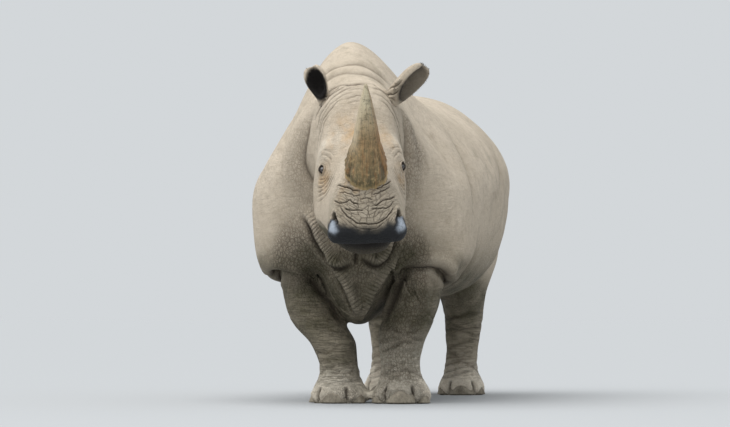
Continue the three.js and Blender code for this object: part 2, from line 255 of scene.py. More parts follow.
headPlace = {
    "pitch": 52.5,  # the face slopes this far below the horizontal
    "turn": 12.5,
    "tilt": 2.5,
    "eyeAcross": 0.184,
    "eyeAlong": 0.433,
    "eyeOut": -0.064,
}


def findHead(values):
    pitch, turn, tilt = (math.radians(values[key]) for key in ("pitch", "turn", "tilt"))
    level = np.array([
        [1, 0, 0],
        [0, -math.cos(pitch), -math.sin(pitch)],
        [0, -math.sin(pitch), math.cos(pitch)],
    ])
    tipped = Matrix.Rotation(turn, 3, "Z") @ Matrix.Rotation(-tilt, 3, "Y")
    axes = level @ np.array(tipped).T
    eyes = [boxMiddle(name) for name in ("eye_left", "eye_right")]
    middle = np.array((eyes[0] + eyes[1]) / 2)
    crown = middle - axes[1] * values["eyeAlong"] - axes[2] * values["eyeOut"]
    return axes, crown


headAxes, headCrown = findHead(headPlace)
def toHead(points):
    return (points - headCrown) @ headAxes.T


def fromHead(place):
    return headCrown + np.array(place) @ headAxes


def eyeSpot(side):  # 1 is the left side and -1 the right
    return fromHead([side * headPlace["eyeAcross"], headPlace["eyeAlong"], headPlace["eyeOut"]])


bodyRegions = {
    "headStart": (-0.061, 0.015),  # a spot on the line from nape to throat, along and out
    "headWay": (0.715, 0.70),  # and the way across that line
    "headEdge": (-0.03, 0.05),
    "chestHalfWidth": 0.36,
    "chestBack": -0.5,
    "chestHeights": (0.37, 0.95),
}


def headShare(points):  # 0 on the body, 1 on the head
    _, along, out = toHead(points).T
    (startAlong, startOut), (wayAlong, wayOut) = bodyRegions["headStart"], bodyRegions["headWay"]
    return smoothStep((along - startAlong) * wayAlong + (out - startOut) * wayOut, *bodyRegions["headEdge"])


def isFine(points):  # the head and the chest between the front legs have finer folds
    x, y, z = points.T
    low, high = bodyRegions["chestHeights"]
    chest = (np.abs(x) < bodyRegions["chestHalfWidth"]) & (y < bodyRegions["chestBack"])
    return (headShare(points) > 0.5) | (chest & (z > low) & (z < high))


# the skin's smooth base

skinForm = {
    "bodyVoxel": 0.0155,
    "thinVoxel": 0.0055,
    "grow": 0.0012,  # closes the thin cuts between the solids
    "bodyRounds": 80,
    "trunkShare": 0.5,
    "limbShare": 0.07,
    "headShare": 0.06,
    "mapCorner": 0.14,  # the share of the unwrapped square that ears and tail take
    "bodyFaces": 98000,  # triangles kept at last
    "fineFaces": 98000,
    "thinRounds": 12,
    "mapGap": 0.004,
    "eyeReaches": (0.08, 0.042),  # the skin is made finer twice round each eye
}
legPlaces = ("front_left", "front_right", "hind_left", "hind_right")
toes = ("inner", "middle", "outer")
legNames = [f"{part}_{place}" for place in legPlaces for part in ("leg", "foot")]
thinNames = ["ear_left", "ear_right", "tail"]


def unwrap(piece, size, corner):  # lays the surface out flat, in its own part of the square
    makeActive(piece)
    bpy.ops.object.mode_set(mode="EDIT")
    bpy.ops.mesh.select_all(action="SELECT")
    bpy.ops.uv.smart_project(angle_limit=1.2, island_margin=0.002)
    bpy.ops.object.mode_set(mode="OBJECT")
    layer = piece.data.uv_layers[0]
    layer.name = "OFBake"
    places = np.empty(len(layer.data) * 2)
    layer.data.foreach_get("uv", places)
    layer.data.foreach_set("uv", places * size + corner)


def refine(piece, chosen):  # halves the edges of the chosen faces
    makeActive(piece)
    bpy.ops.object.mode_set(mode="EDIT")
    bpy.ops.mesh.select_mode(type="FACE")
    bpy.ops.mesh.select_all(action="DESELECT")
    bpy.ops.object.mode_set(mode="OBJECT")
    piece.data.polygons.foreach_set("select", chosen)
    bpy.ops.object.mode_set(mode="EDIT")
    bpy.ops.mesh.subdivide(number_cuts=1, smoothness=1.0)
    bpy.ops.mesh.select_all(action="DESELECT")
    bpy.ops.object.mode_set(mode="OBJECT")


def faceMiddles(piece):
    middles = np.empty(len(piece.data.polygons) * 3)
    piece.data.polygons.foreach_get("center", middles)
    return middles.reshape(-1, 3)


def buildBase(values):
    body = formFrom("skin", ["trunk", "neck", "head", *legNames], values["grow"])
    applyModifier(body, "REMESH", mode="VOXEL", voxel_size=values["bodyVoxel"])
    points = readPoints(body)
    head = headShare(points)
    limb = fading(points[:, 2], 0.52, 0.74)
    share = values["trunkShare"] * (1 - limb) + values["limbShare"] * limb
    share = share * (1 - head) + values["headShare"] * head
    relax(body, values["bodyRounds"], share)
    unwrap(body, 1 - values["mapCorner"], values["mapCorner"])
    applyModifier(body, "SUBSURF", levels=1, render_levels=1, uv_smooth="NONE")
    print("body form", len(body.data.vertices))

    thin = formFrom("thin", thinNames, values["grow"])
    applyModifier(thin, "REMESH", mode="VOXEL", voxel_size=values["thinVoxel"])
    relax(thin, values["thinRounds"], 0.5)
    unwrap(thin, values["mapCorner"] - values["mapGap"], 0)
    applyModifier(body, "BOOLEAN", operation="UNION", object=thin, solver="MANIFOLD")
    bpy.data.objects.remove(thin)
    print("ears and tail joined", len(body.data.vertices))

    refine(body, isFine(faceMiddles(body)))
    middles = faceMiddles(body)
    _, downFace, fromFace = toHead(middles).T
    refine(body, (downFace > 0.6) & (downFace < 0.9) & (fromFace > -0.03) & (headShare(middles) > 0.5))
    for reach in values["eyeReaches"]:
        left, right = (np.linalg.norm(faceMiddles(body) - eyeSpot(side), axis=1) < reach for side in (1, -1))
        refine(body, left | right)
    print("head refined", len(body.data.vertices))
    return body


skin = buildBase(skinForm)
basePoints = readPoints(skin)
baseNormals = readNormals(skin)


# repeatable patterns in space

def randomAt(cells, seed):  # the same number from 0 to 1 each time for a whole-number place
    mixed = cells[:, 0] * 73856093 ^ cells[:, 1] * 19349663 ^ cells[:, 2] * 83492791 ^ seed * 2654435761
    mixed = (mixed ^ (mixed >> 13)) * 1274126177 & 0x7FFFFFFF
    mixed = (mixed ^ (mixed >> 15)) & 0xFFFFFF
    return mixed / 0xFFFFFF


def softNoise(points, size, seed):  # smooth swells from -1 to 1, about one to each size
    scaled = points / size
    cells = np.floor(scaled).astype(np.int64)
    part = scaled - cells
    part = part * part * (3 - 2 * part)
    total = np.zeros(len(points))
    for corner in np.ndindex(2, 2, 2):
        share = np.prod(np.where(corner, part, 1 - part), axis=1)
        total += share * randomAt(cells + corner, seed)
    return total * 2 - 1


# drawing on the skin: each view gives the axes its points are in, and which way it looks from

across, along, out = headAxes
worldX, worldY, worldZ = np.eye(3)
views = {
    "face": (headCrown, across, along, out, 0.7),
    "front": (np.zeros(3), worldX, worldZ, -worldY, 2.5),
    "chest": (np.zeros(3), worldX, worldZ, -worldY, 1.0),
    "left": (np.zeros(3), worldY, worldZ, worldX, 1.5),
    "right": (np.zeros(3), worldY, worldZ, -worldX, 1.5),
    "top": (np.zeros(3), worldX, worldY, worldZ, 2.5),
}


def smoothPath(corners, step):  # a smooth curve through the corners, with evenly spaced points
    corners = np.array(corners, dtype=float)
    ends = np.vstack([2 * corners[0] - corners[1], corners, 2 * corners[-1] - corners[-2]])
    dense = []
    for before, start, stop, after in zip(ends, ends[1:], ends[2:], ends[3:]):
        share = np.linspace(0, 1, 24, endpoint=False)[:, None]
        dense.append(0.5 * (2 * start + (stop - before) * share
                            + (2 * before - 5 * start + 4 * stop - after) * share**2
                            + (3 * start - before - 3 * stop + after) * share**3))
    dense = np.vstack([*dense, corners[-1:]])
    run = np.concatenate([[0], np.cumsum(np.linalg.norm(np.diff(dense, axis=0), axis=1))])
    count = max(int(run[-1] / step), 3)
    even = np.linspace(0, run[-1], count)
    return np.stack([np.interp(even, run, dense[:, axis]) for axis in range(corners.shape[1])], axis=1)


def drawOn(view, corners, step):  # a path on the skin: its places and the skin's normals there
    origin, first, second, outward, far = views[view]
    runs = [[]]
    for one, two in smoothPath(corners, step):
        start = origin + first * one + second * two + outward * far
        found, place, normal, _ = skin.ray_cast(start, -outward)
        if not found or (runs[-1] and (place - runs[-1][-1][0]).length > step * 5):
            runs.append([])  # the path jumps to another part here
        if found:
            runs[-1].append((place, normal))
    longest = max(runs, key=len)
    return np.array([place for place, _ in longest]), np.array([normal for _, normal in longest])


def besidePath(places, normals, reach):  # the skin's points near a path, and where they lie along it
    low, high = places.min(axis=0) - reach, places.max(axis=0) + reach
    chosen = np.flatnonzero(((basePoints > low) & (basePoints < high)).all(axis=1))
    near = basePoints[chosen]
    squares = (near**2).sum(axis=1)[:, None] + (places**2).sum(axis=1)[None] - 2 * near @ places.T
    nearest = squares.argmin(axis=1)
    close = squares[np.arange(len(chosen)), nearest] < reach * reach
    chosen, near, nearest = chosen[close], near[close], nearest[close]
    facing = (baseNormals[chosen] * normals[nearest]).sum(axis=1) > 0.15
    chosen, near, nearest = chosen[facing], near[facing], nearest[facing]
    heading = np.gradient(places, axis=0)
    spacing = np.linalg.norm(heading, axis=1)
    heading /= np.maximum(spacing, 1e-9)[:, None]
    aside = np.cross(normals, heading)
    apart = near - places[nearest]
    side = (apart * aside[nearest]).sum(axis=1)
    ahead = (apart * heading[nearest]).sum(axis=1)
    beyond = np.maximum(np.abs(ahead) - spacing[nearest], 0)
    length = spacing.sum()
    run = np.clip(np.cumsum(spacing)[nearest] + ahead, 0, length)
    return chosen, side, run, beyond, length


push = np.zeros(len(basePoints))  # how far the skin moves along its normals
valley = np.zeros(len(basePoints))
shift = np.zeros_like(basePoints)
markNames = ("crease", "lips", "wetPaintedHighlight", "hollow", "warm", "cracks", "rings", "soilAndPaintedShade", "relief", "ripple",
             "rippleShare", "dust")
marks = {name: np.zeros(len(basePoints)) for name in markNames}
rippleSize = 0.018
rippleDepth = 0.0038


def raiseMark(name, values, chosen=slice(None)):  # a mark only ever grows stronger
    marks[name][chosen] = np.maximum(marks[name][chosen], values)


def addFold(view, corners, width, depth, lip=0.35, **values):
    places, normals = drawOn(view, corners, max(0.004, width * 0.5))
    if len(places) < 4:
        print("fold missed", view, corners[0])
        return
    cutFold(places, normals, width, depth, lip, **values)


# A fold is a narrow valley with a lip at both sides, with painted shade along its bottom as strong as its
# dark value. It may have a roll on its left side, which hangs down, be tucked in on its right side, and bear
# ripples across it.
def cutFold(places, normals, width, depth, lip=0.35, roll=0.0, rollWidth=0.0, hang=0.0, tuck=0.0,
            tuckReach=0.08, fade=0.22, dark=1.0, sway=0.25, ripples=0.0):
    reach = max(width * 6, rollWidth * 3.2, tuckReach * 2.5 if tuck else 0)
    chosen, side, run, beyond, length = besidePath(places, normals, reach)
    seed = int(np.abs(places[0]).sum() * 99991) % 9973
    onPath = np.stack([run, np.full_like(run, seed), np.zeros_like(run)], axis=1)
    side = side + softNoise(onPath, width * 6 + 0.01, seed) * width * sway * 2
    side = side + softNoise(basePoints[chosen], width * 2.5, seed + 1) * width * sway
    taper = smoothStep(np.minimum(run, length - run), 0, max(length * fade, width * 2))
    taper = taper * bell((beyond, 0, width * 2))
    level = taper * (0.85 + 0.3 * softNoise(onPath, width * 9 + 0.01, seed + 2))
    far = np.abs(side)
    cut = -depth * level * np.exp(-(far / width)**1.15)
    valley[chosen] = np.minimum(valley[chosen], cut)
    push[chosen] += depth * lip * level * bell((far, width * 2.4, width * 1.4))
    above, below = side > 0, side <= 0
    if roll:
        bulge = bell((side, rollWidth * 0.8, rollWidth))
        push[chosen] += roll * taper * np.where(above, bulge, bulge * np.exp(side / (width * 0.6)))
    if hang:
        shift[chosen, 2] -= hang * taper * above * bell((side, 0, width * 2.5))
    if tuck:
        push[chosen] -= tuck * taper * below * np.exp(side / tuckReach) * (1 - bell((side, 0, width)))
    if ripples:
        share = ripples * taper * bell((side, rollWidth * 0.8, rollWidth * 1.3))
        share = share * smoothStep(side, -width * 0.5, width)
        wavy = run + softNoise(basePoints[chosen], 0.06, seed + 3) * 0.012 + side * 0.25
        stronger = share > marks["rippleShare"][chosen]
        marks["ripple"][chosen[stronger]] = wavy[stronger]
        marks["rippleShare"][chosen[stronger]] = share[stronger]
        push[chosen] -= share * rippleDepth * (1 - np.abs(np.sin(wavy * math.pi / rippleSize)))**2
    # painted shade along the bottom of the fold
    strength = dark * min(1, depth / 0.007) * bell((far, 0, width * 0.9)) * taper
    raiseMark("crease", strength, chosen)


def ballAt(middle, radius):  # 1 at a place and soft round it
    return np.exp(-((basePoints - middle)**2).sum(axis=1) / radius**2)


# folds of the face

muzzleFolds = [
    # path across and along the face, width, depth
    ([(-0.13, 0.625), (-0.113, 0.65), (-0.088, 0.685), (-0.059, 0.714), (-0.02, 0.73)], 0.0055, 0.012),
    ([(0.04, 0.72), (0.067, 0.708), (0.095, 0.675), (0.128, 0.61)], 0.0055, 0.011),
    ([(-0.12, 0.69), (-0.1, 0.705), (-0.085, 0.722), (-0.062, 0.735), (-0.055, 0.745),
      (-0.015, 0.75)], 0.004, 0.006),
    ([(0.03, 0.745), (0.058, 0.735), (0.085, 0.715), (0.118, 0.672)], 0.004, 0.007),
    ([(-0.145, 0.71), (-0.128, 0.74), (-0.114, 0.755), (-0.088, 0.763), (-0.074, 0.76), (-0.062, 0.772),
      (-0.027, 0.788)], 0.005, 0.009),
    ([(-0.027, 0.768), (0.005, 0.76), (0.032, 0.768)], 0.004, 0.006),
    ([(0.036, 0.797), (0.055, 0.783), (0.078, 0.765), (0.1, 0.755), (0.114, 0.746),
      (0.138, 0.715)], 0.005, 0.009),
    ([(-0.1, 0.79), (-0.088, 0.801), (-0.06, 0.809), (-0.01, 0.814)], 0.0045, 0.008),
    ([(0.02, 0.812), (0.053, 0.809), (0.088, 0.8), (0.112, 0.782), (0.13, 0.745)], 0.0045, 0.007),
    ([(-0.125, 0.76), (-0.115, 0.785), (-0.1, 0.812), (-0.081, 0.836), (-0.052, 0.855), (-0.019, 0.863),
      (0.019, 0.863), (0.054, 0.859), (0.085, 0.842), (0.113, 0.815), (0.13, 0.77)], 0.0048, 0.008),
    ([(-0.09, 0.845), (-0.05, 0.872), (0.0, 0.879), (0.05, 0.874), (0.09, 0.85)], 0.004, 0.004),
    ([(-0.03, 0.735), (-0.026, 0.76), (-0.024, 0.785)], 0.003, 0.003),
    ([(0.012, 0.79), (0.008, 0.82), (0.014, 0.848)], 0.003, 0.003),
]
muzzlePads = {
    "wide": 0.034,
    "high": 0.0165,
    "droop": 5.5,  # the rows hang lower in the middle, round the horn's root
    "gap": 0.12,
    "depth": 0.0035,
}


def cellGaps(first, second, seed):  # how far each place is from the border between two cells, in cells
    grid = np.stack([np.floor(first), np.floor(second), np.zeros_like(first)], axis=1).astype(np.int64)
    nearest, secondNearest = np.full(len(first), 9.0), np.full(len(first), 9.0)
    for stepA, stepB in np.ndindex(3, 3):
        cell = grid + (stepA - 1, stepB - 1, 0)
        aside = cell[:, 0] + randomAt(cell, seed) - first
        above = cell[:, 1] + randomAt(cell, seed + 1) - second
        gap = np.hypot(aside, above)
        secondNearest = np.minimum(secondNearest, np.maximum(nearest, gap))
        nearest = np.minimum(nearest, gap)
    return secondNearest - nearest


def padMuzzle(values):
    chosen = np.flatnonzero(headShare(basePoints) > 0.5)
    u, v, w = toHead(basePoints[chosen]).T
    row = v + values["droop"] * np.minimum(u * u, 0.02) + softNoise(basePoints[chosen], 0.05, 61) * 0.006
    column = u + softNoise(basePoints[chosen], 0.04, 62) * 0.008
    part = smoothStep(v, 0.6, 0.66) * fading(v, 0.85, 0.875) * fading(np.abs(u), 0.11, 0.16)
    part = part * smoothStep(w, -0.02, 0.03)
    gaps = cellGaps(column / values["wide"], row / values["high"], 63)
    line = bell((gaps, 0, values["gap"])) * part
    push[chosen] -= line * values["depth"] * (0.6 + 0.4 * softNoise(basePoints[chosen], 0.04, 64))
    # painted shade in the gaps between the pads
    raiseMark("crease", line * 0.7, chosen)


padMuzzle(muzzlePads)
for corners, width, depth in muzzleFolds:
    addFold("face", corners, width * 0.62, depth * 1.1, 0.25, fade=0.12, dark=1.2, sway=0.6)

browFolds = [
    # across and along: round the ears and over the forehead
    ("face", [(-0.215, 0.1), (-0.19, 0.07), (-0.15, 0.05), (-0.11, 0.035), (-0.07, 0.02),
              (-0.03, 0.012)], 0.007, 0.007),
    ("face", [(-0.205, 0.16), (-0.185, 0.12), (-0.15, 0.09), (-0.11, 0.065), (-0.06, 0.05),
              (0.0, 0.045)], 0.006, 0.005),
    ("face", [(-0.2, 0.2), (-0.18, 0.155), (-0.145, 0.12), (-0.1, 0.095), (-0.05, 0.08),
              (0.0, 0.075)], 0.006, 0.0035),
    ("face", [(0.06, 0.045), (0.1, 0.05), (0.14, 0.065), (0.175, 0.095), (0.195, 0.135)], 0.006, 0.006),
    ("face", [(0.05, 0.08), (0.1, 0.085), (0.14, 0.105), (0.175, 0.14), (0.19, 0.18)], 0.006, 0.004),
    ("face", [(-0.08, 0.11), (-0.03, 0.105), (0.03, 0.105), (0.08, 0.115)], 0.005, 0.0035),
    ("face", [(-0.21, 0.25), (-0.19, 0.19), (-0.155, 0.15), (-0.105, 0.125), (-0.05, 0.115)], 0.005, 0.0045),
    ("face", [(-0.205, 0.30), (-0.19, 0.24), (-0.165, 0.19), (-0.13, 0.155)], 0.005, 0.0035),
    ("face", [(0.06, 0.11), (0.115, 0.12), (0.16, 0.155), (0.185, 0.20), (0.20, 0.26)], 0.005, 0.0045),
    ("face", [(-0.07, 0.03), (-0.02, 0.02), (0.03, 0.028), (0.07, 0.04)], 0.005, 0.004),
    ("face", [(-0.06, 0.062), (0.0, 0.058), (0.05, 0.065)], 0.004, 0.0035),
    ("face", [(-0.06, 0.142), (0.01, 0.135), (0.07, 0.15)], 0.004, 0.003),
    ("face", [(0.072, -0.01), (0.10, 0.025), (0.135, 0.05), (0.175, 0.062), (0.21, 0.055)], 0.006, 0.012),
    ("face", [(0.085, -0.02), (0.115, 0.008), (0.15, 0.028), (0.19, 0.034), (0.22, 0.028)], 0.005, 0.009),
    ("face", [(-0.085, -0.01), (-0.11, 0.02), (-0.145, 0.04), (-0.18, 0.045), (-0.21, 0.04)], 0.006, 0.010),
    ("top", [(-0.1, -0.93), (-0.06, -0.955), (-0.011, -0.968), (0.06, -1.013), (0.109, -1.01),
             (0.16, -0.99)], 0.009, 0.016),
]
for view, corners, width, depth in browFolds:
    addFold(view, corners, width, depth * 0.8, 0.3, dark=1.0, sway=0.6)


# folds of the nape, neck and chest

neckFolds = [
    # view, path, width, depth, and how it rolls over
    ("top", [(-0.2, -0.7), (-0.11, -0.745), (-0.025, -0.76), (0.062, -0.72), (0.142, -0.67), (0.2, -0.6)],
     0.018, 0.007, {"roll": 0.006, "rollWidth": 0.045, "dark": 0.3}),
    ("top", [(-0.14, -0.81), (-0.079, -0.83), (-0.017, -0.85), (0.068, -0.85), (0.13, -0.8), (0.18, -0.73)],
     0.018, 0.010, {"roll": 0.008, "rollWidth": 0.045, "dark": 0.35}),
    # behind the jaw
    ("right", [(-0.96, 1.40), (-0.955, 1.25), (-0.935, 1.12), (-0.91, 0.98),
               (-0.87, 0.86)], 0.022, 0.018, {"dark": 0.3}),
    ("left", [(-0.88, 1.40), (-0.87, 1.25), (-0.855, 1.12), (-0.83, 0.98),
              (-0.8, 0.86)], 0.022, 0.018, {"dark": 0.3}),
    # where the neck's loose skin meets the shoulder
    ("right", [(-0.76, 1.42), (-0.84, 1.25), (-0.87, 1.12), (-0.87, 0.98), (-0.85, 0.86),
               (-0.82, 0.77)], 0.03, 0.006,
     {"dark": 0.0, "roll": 0.006, "rollWidth": 0.06}),
    ("left", [(-0.82, 0.8), (-0.785, 0.95), (-0.79, 1.05), (-0.8, 1.17), (-0.785, 1.27),
              (-0.72, 1.42)], 0.03, 0.006,
     {"dark": 0.0, "roll": 0.006, "rollWidth": 0.06}),
]
chestFolds = [
    # the collar under the jaw, two lobes with a cleft between
    ("chest", [(-0.21, 0.92), (-0.175, 0.84), (-0.13, 0.74), (-0.095, 0.69), (-0.044, 0.655),
               (0.005, 0.665), (0.04, 0.70)],
     0.012, 0.028, {"roll": 0.030, "rollWidth": 0.035, "ripples": 1.0, "dark": 1.3}),
    ("chest", [(0.055, 0.70), (0.099, 0.672), (0.144, 0.66), (0.188, 0.7), (0.226, 0.77), (0.26, 0.86)],
     0.012, 0.028, {"roll": 0.030, "rollWidth": 0.035, "ripples": 1.0, "dark": 1.3}),
    ("chest", [(0.048, 0.76), (0.046, 0.71), (0.044, 0.66)], 0.010, 0.020, {}),
    # the hanging point of the dewlap
    ("chest", [(-0.12, 0.72), (-0.085, 0.665), (-0.061, 0.613), (-0.032, 0.556), (-0.005, 0.498),
               (0.015, 0.45), (0.032, 0.41)],
     0.011, 0.022, {"roll": 0.016, "rollWidth": 0.032, "ripples": 0.9, "tuck": 0.030, "tuckReach": 0.045}),
    ("chest", [(0.052, 0.41), (0.07, 0.445), (0.105, 0.498), (0.14, 0.556), (0.172, 0.614), (0.21, 0.68),
               (0.24, 0.73)],
     0.010, 0.020, {"roll": 0.018, "rollWidth": 0.028, "ripples": 0.9, "tuck": 0.006, "tuckReach": 0.03}),
    # the chest's side flaps against the legs
    ("chest", [(-0.235, 0.63), (-0.2, 0.585), (-0.173, 0.533), (-0.138, 0.48), (-0.096, 0.42),
               (-0.06, 0.392)],
     0.015, 0.011, {"roll": 0.012, "rollWidth": 0.035}),
    ("chest", [(0.14, 0.39), (0.163, 0.43), (0.19, 0.48), (0.215, 0.54), (0.235, 0.6), (0.245, 0.65)],
     0.015, 0.016, {"roll": 0.022, "rollWidth": 0.035}),
    ("chest", [(0.05, 0.63), (0.045, 0.57), (0.045, 0.5)], 0.016, 0.006, {"dark": 0.3}),
]
frontHem = {"roll": 0.020, "rollWidth": 0.05, "hang": 0.022, "tuck": 0.038, "tuckReach": 0.10, "dark": 1.3}
sideHem = {"roll": 0.018, "rollWidth": 0.05, "hang": 0.02, "tuck": 0.03, "tuckReach": 0.09}
skirtFolds = [
    # the shoulder's hem over each front leg, in front and round its outer side
    ("front", [(-0.47, 0.60), (-0.44, 0.635), (-0.39, 0.66), (-0.326, 0.662), (-0.27, 0.65), (-0.232, 0.625)],
     0.015, 0.036, frontHem),
    ("front", [(0.18, 0.60), (0.215, 0.633), (0.24, 0.655), (0.271, 0.669), (0.32, 0.674), (0.386, 0.675),
               (0.43, 0.66), (0.46, 0.63)],
     0.015, 0.036, frontHem),
    ("right", [(-0.1, 0.555), (-0.22, 0.575), (-0.36, 0.59), (-0.48, 0.6), (-0.58, 0.63), (-0.64, 0.66)],
     0.016, 0.032, sideHem),
    ("left", [(-0.64, 0.67), (-0.58, 0.645), (-0.48, 0.61), (-0.36, 0.6), (-0.22, 0.585), (-0.1, 0.56)],
     0.016, 0.032, sideHem),
]
flankPaths = [
    # along and up the animal's side, width and depth
    ([(-0.12, 1.42), (-0.2, 1.25), (-0.28, 1.08), (-0.36, 0.92), (-0.45, 0.8)], 0.055, 0.010),
    ([(0.78, 1.38), (0.6, 1.25), (0.34, 1.12), (0.15, 0.98), (0.04, 0.83), (-0.05, 0.72)], 0.045, 0.007),
    ([(0.72, 1.2), (0.546, 1.07), (0.346, 0.91), (0.172, 0.78), (0.06, 0.66)], 0.04, 0.006),
    ([(0.35, 1.33), (0.18, 1.22), (0.0, 1.05), (-0.1, 0.9)], 0.035, 0.004),
    ([(0.88, 1.22), (0.85, 1.08), (0.82, 0.95), (0.76, 0.82), (0.68, 0.72), (0.56, 0.63),
      (0.4, 0.58)], 0.038, 0.022),
    ([(0.98, 0.9), (0.93, 0.8), (0.86, 0.71), (0.78, 0.64)], 0.02, 0.006),
    ([(1.36, 1.28), (1.35, 1.12), (1.31, 0.95), (1.25, 0.8), (1.2, 0.66)], 0.026, 0.008),
    ([(-0.22, 0.86), (-0.16, 0.74), (-0.11, 0.64), (-0.08, 0.56)], 0.03, 0.014),
]
for view, corners, width, depth, values in neckFolds + chestFolds + skirtFolds:
    addFold(view, corners, width, depth, **values)
for corners, width, depth in flankPaths:
    for view in ("left", "right"):
        addFold(view, corners, width, depth, dark=0.12, lip=0.35, fade=0.35, sway=0.35)


# folds round the legs, and the clefts between the toes

legFolds = {
    # height, where it starts round the leg and how far it goes in turns, depth
    "front": [(0.118, 0.6, 0.5, 0.003), (0.14, 0.55, 0.8, 0.003), (0.162, 0.7, 0.7, 0.0025),
              (0.19, 0.6, 0.5, 0.002),
              (0.30, 0.85, 0.35, 0.002), (0.27, 0.9, 0.22, 0.004), (0.36, 0.84, 0.25, 0.003),
              (0.46, 0.42, 0.2, 0.003)],
    "hind": [(0.112, 0.6, 0.6, 0.004), (0.132, 0.55, 0.9, 0.004), (0.155, 0.65, 0.8, 0.004),
             (0.18, 0.5, 0.9, 0.0035),
             (0.215, 0.6, 0.7, 0.003), (0.27, 0.75, 0.6, 0.003), (0.33, 0.8, 0.6, 0.004),
             (0.37, 0.7, 0.7, 0.005),
             (0.42, 0.75, 0.6, 0.004)],
    "width": 0.0075,
    "cleftHeight": 0.088,
    "cleftWidth": 0.009,
    "cleftDepth": 0.022,
}


def legRing(place, height, start, sweep, lean):  # a ring of points on a leg, seen from its own middle
    low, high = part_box("foot_" + place)
    x, y, z = basePoints.T
    reach = 0.09 + height * 0.1
    near = (np.abs(z - height) < 0.02) & (x > low.x - reach) & (x < high.x + reach)
    near = near & (y > low.y - reach) & (y < high.y + reach)
    middle = np.append(basePoints[near][:, :2].mean(axis=0), height)
    places, normals = [], []
    for turn in np.linspace(start, start + sweep, max(int(abs(sweep) * 26), 6)):
        outward = np.array([math.sin(turn), -math.cos(turn), 0])
        spot = middle + np.array([0, 0, lean * math.cos(turn * 2 + height * 40)])
        found, hit, normal, _ = skin.ray_cast(spot + outward * 0.24, -outward)
        if found and abs(normal.z) < 0.9:
            places.append(hit)
            normals.append(normal)
    return np.array(places), np.array(normals)


def foldLegs(values):
    for index, place in enumerate(legPlaces):
        for step, (height, start, sweep, depth) in enumerate(values[place.split("_")[0]]):
            shifted = start + (randomAt(np.array([[index, step, 1]]), 7)[0] - 0.5) * 0.3
            places, normals = legRing(place, height, shifted * math.tau, sweep * math.tau, 0.02)
            cutFold(places, normals, values["width"] * (1 + height), depth, dark=0.55, sway=0.5)
        foot = boxMiddle("foot_" + place)
        nails = [boxMiddle(f"nail_{place}_{toe}") - foot for toe in toes]
        turns = [math.atan2(nail.x, -nail.y) for nail in nails]
        for one, other in ((0, 1), (1, 2)):
            turn = (turns[one] * 0.5 + turns[other] * 0.5)
            outward = np.array([math.sin(turn), -math.cos(turn), 0])
            places, normals = [], []
            for height in np.linspace(0.004, values["cleftHeight"], 20):
                start = np.array([foot.x, foot.y, height]) + outward * 0.22
                found, hit, normal, _ = skin.ray_cast(start, -outward)
                if found:
                    places.append(hit)
                    normals.append(normal)
            cutFold(np.array(places), np.array(normals), values["cleftWidth"], values["cleftDepth"],
                    lip=0.25, fade=0.3, sway=0.1)


foldLegs(legFolds)
print("folds drawn")


# mouth, lips and nostrils

mouthForm = {
    "front": -0.055,  # how far below the face's plane the lips meet in front
    "slope": 0.52,  # and how that drops towards the corner of the mouth
    "corner": 0.6,  # how far along the face the corner lies
    "tuckAcross": 0.024,
    "tuckBack": 0.036,
    "lipFlare": 0.014,
}
u, v, w = toHead(basePoints).T
isHead = headShare(basePoints)


def shapeMouth(values):
    line = values["front"] - np.maximum(0.885 - v, 0) * values["slope"]
    line = line + softNoise(basePoints, 0.06, 31) * 0.004
    below = line - w
    reach = smoothStep(v, values["corner"], values["corner"] + 0.1) * isHead
    jaw = smoothStep(below, -0.003, 0.012) * (1 - 0.55 * smoothStep(below, 0.02, 0.13)) * reach
    sideways = smoothStep(np.abs(u), 0.02, 0.12)
    shift[:] -= across * (np.sign(u) * sideways * jaw * values["tuckAcross"])[:, None]
    shift[:] -= along * (jaw * smoothStep(v, 0.74, 0.86) * values["tuckBack"])[:, None]
    # painted shade along the seam where the lips meet
    seam = bell((below, 0.007, 0.008)) * reach
    raiseMark("crease", seam)
    raiseMark("hollow", seam * 0.8)
    flare = bell((np.abs(u), 0.165, 0.04), (v, 0.852, 0.035), (w, -0.005, 0.05)) * isHead
    shift[:] += across * (np.sign(u) * flare * values["lipFlare"])[:, None]
    edge = 0.868 - 0.020 * smoothStep(np.abs(u), 0.03, 0.11) - 0.055 * smoothStep(np.abs(u), 0.115, 0.155)
    edge = edge + softNoise(basePoints, 0.03, 33) * 0.007 + softNoise(basePoints, 0.012, 34) * 0.004
    lips = smoothStep(v + np.maximum(0.02 - w, 0) * 0.35 - edge, -0.006, 0.024) * isHead
    marks["lips"][:] = lips * fading(below, 0.02, 0.045) * smoothStep(v, 0.76, 0.8)
    # painted highlight: a pale blue-grey patch on each wet corner of the mouth, where it reflects the light;
    # the same mark also makes these corners glossier
    corner = bell((np.abs(u), 0.148, 0.024), (v, 0.842, 0.052), (w, 0.020, 0.027))
    corner = corner + softNoise(basePoints, 0.014, 35) * 0.12
    marks["wetPaintedHighlight"][:] = smoothStep(corner, 0.25, 0.85) * smoothStep(marks["lips"], 0.3, 0.9)
    # painted shadow under the upper lip, over the chin
    under = smoothStep(below, 0.01, 0.03) * (1 - 0.7 * smoothStep(below, 0.065, 0.14))
    under = under * smoothStep(v, 0.66, 0.8) * isHead
    raiseMark("hollow", under * 0.96)


nostrilForm = {
    "place": (0.146, 0.797, 0.036),  # across, along and out
    "halfLong": 0.021,
    "halfWide": 0.016,
    "depth": 0.042,
    "slit": 0.04,
}


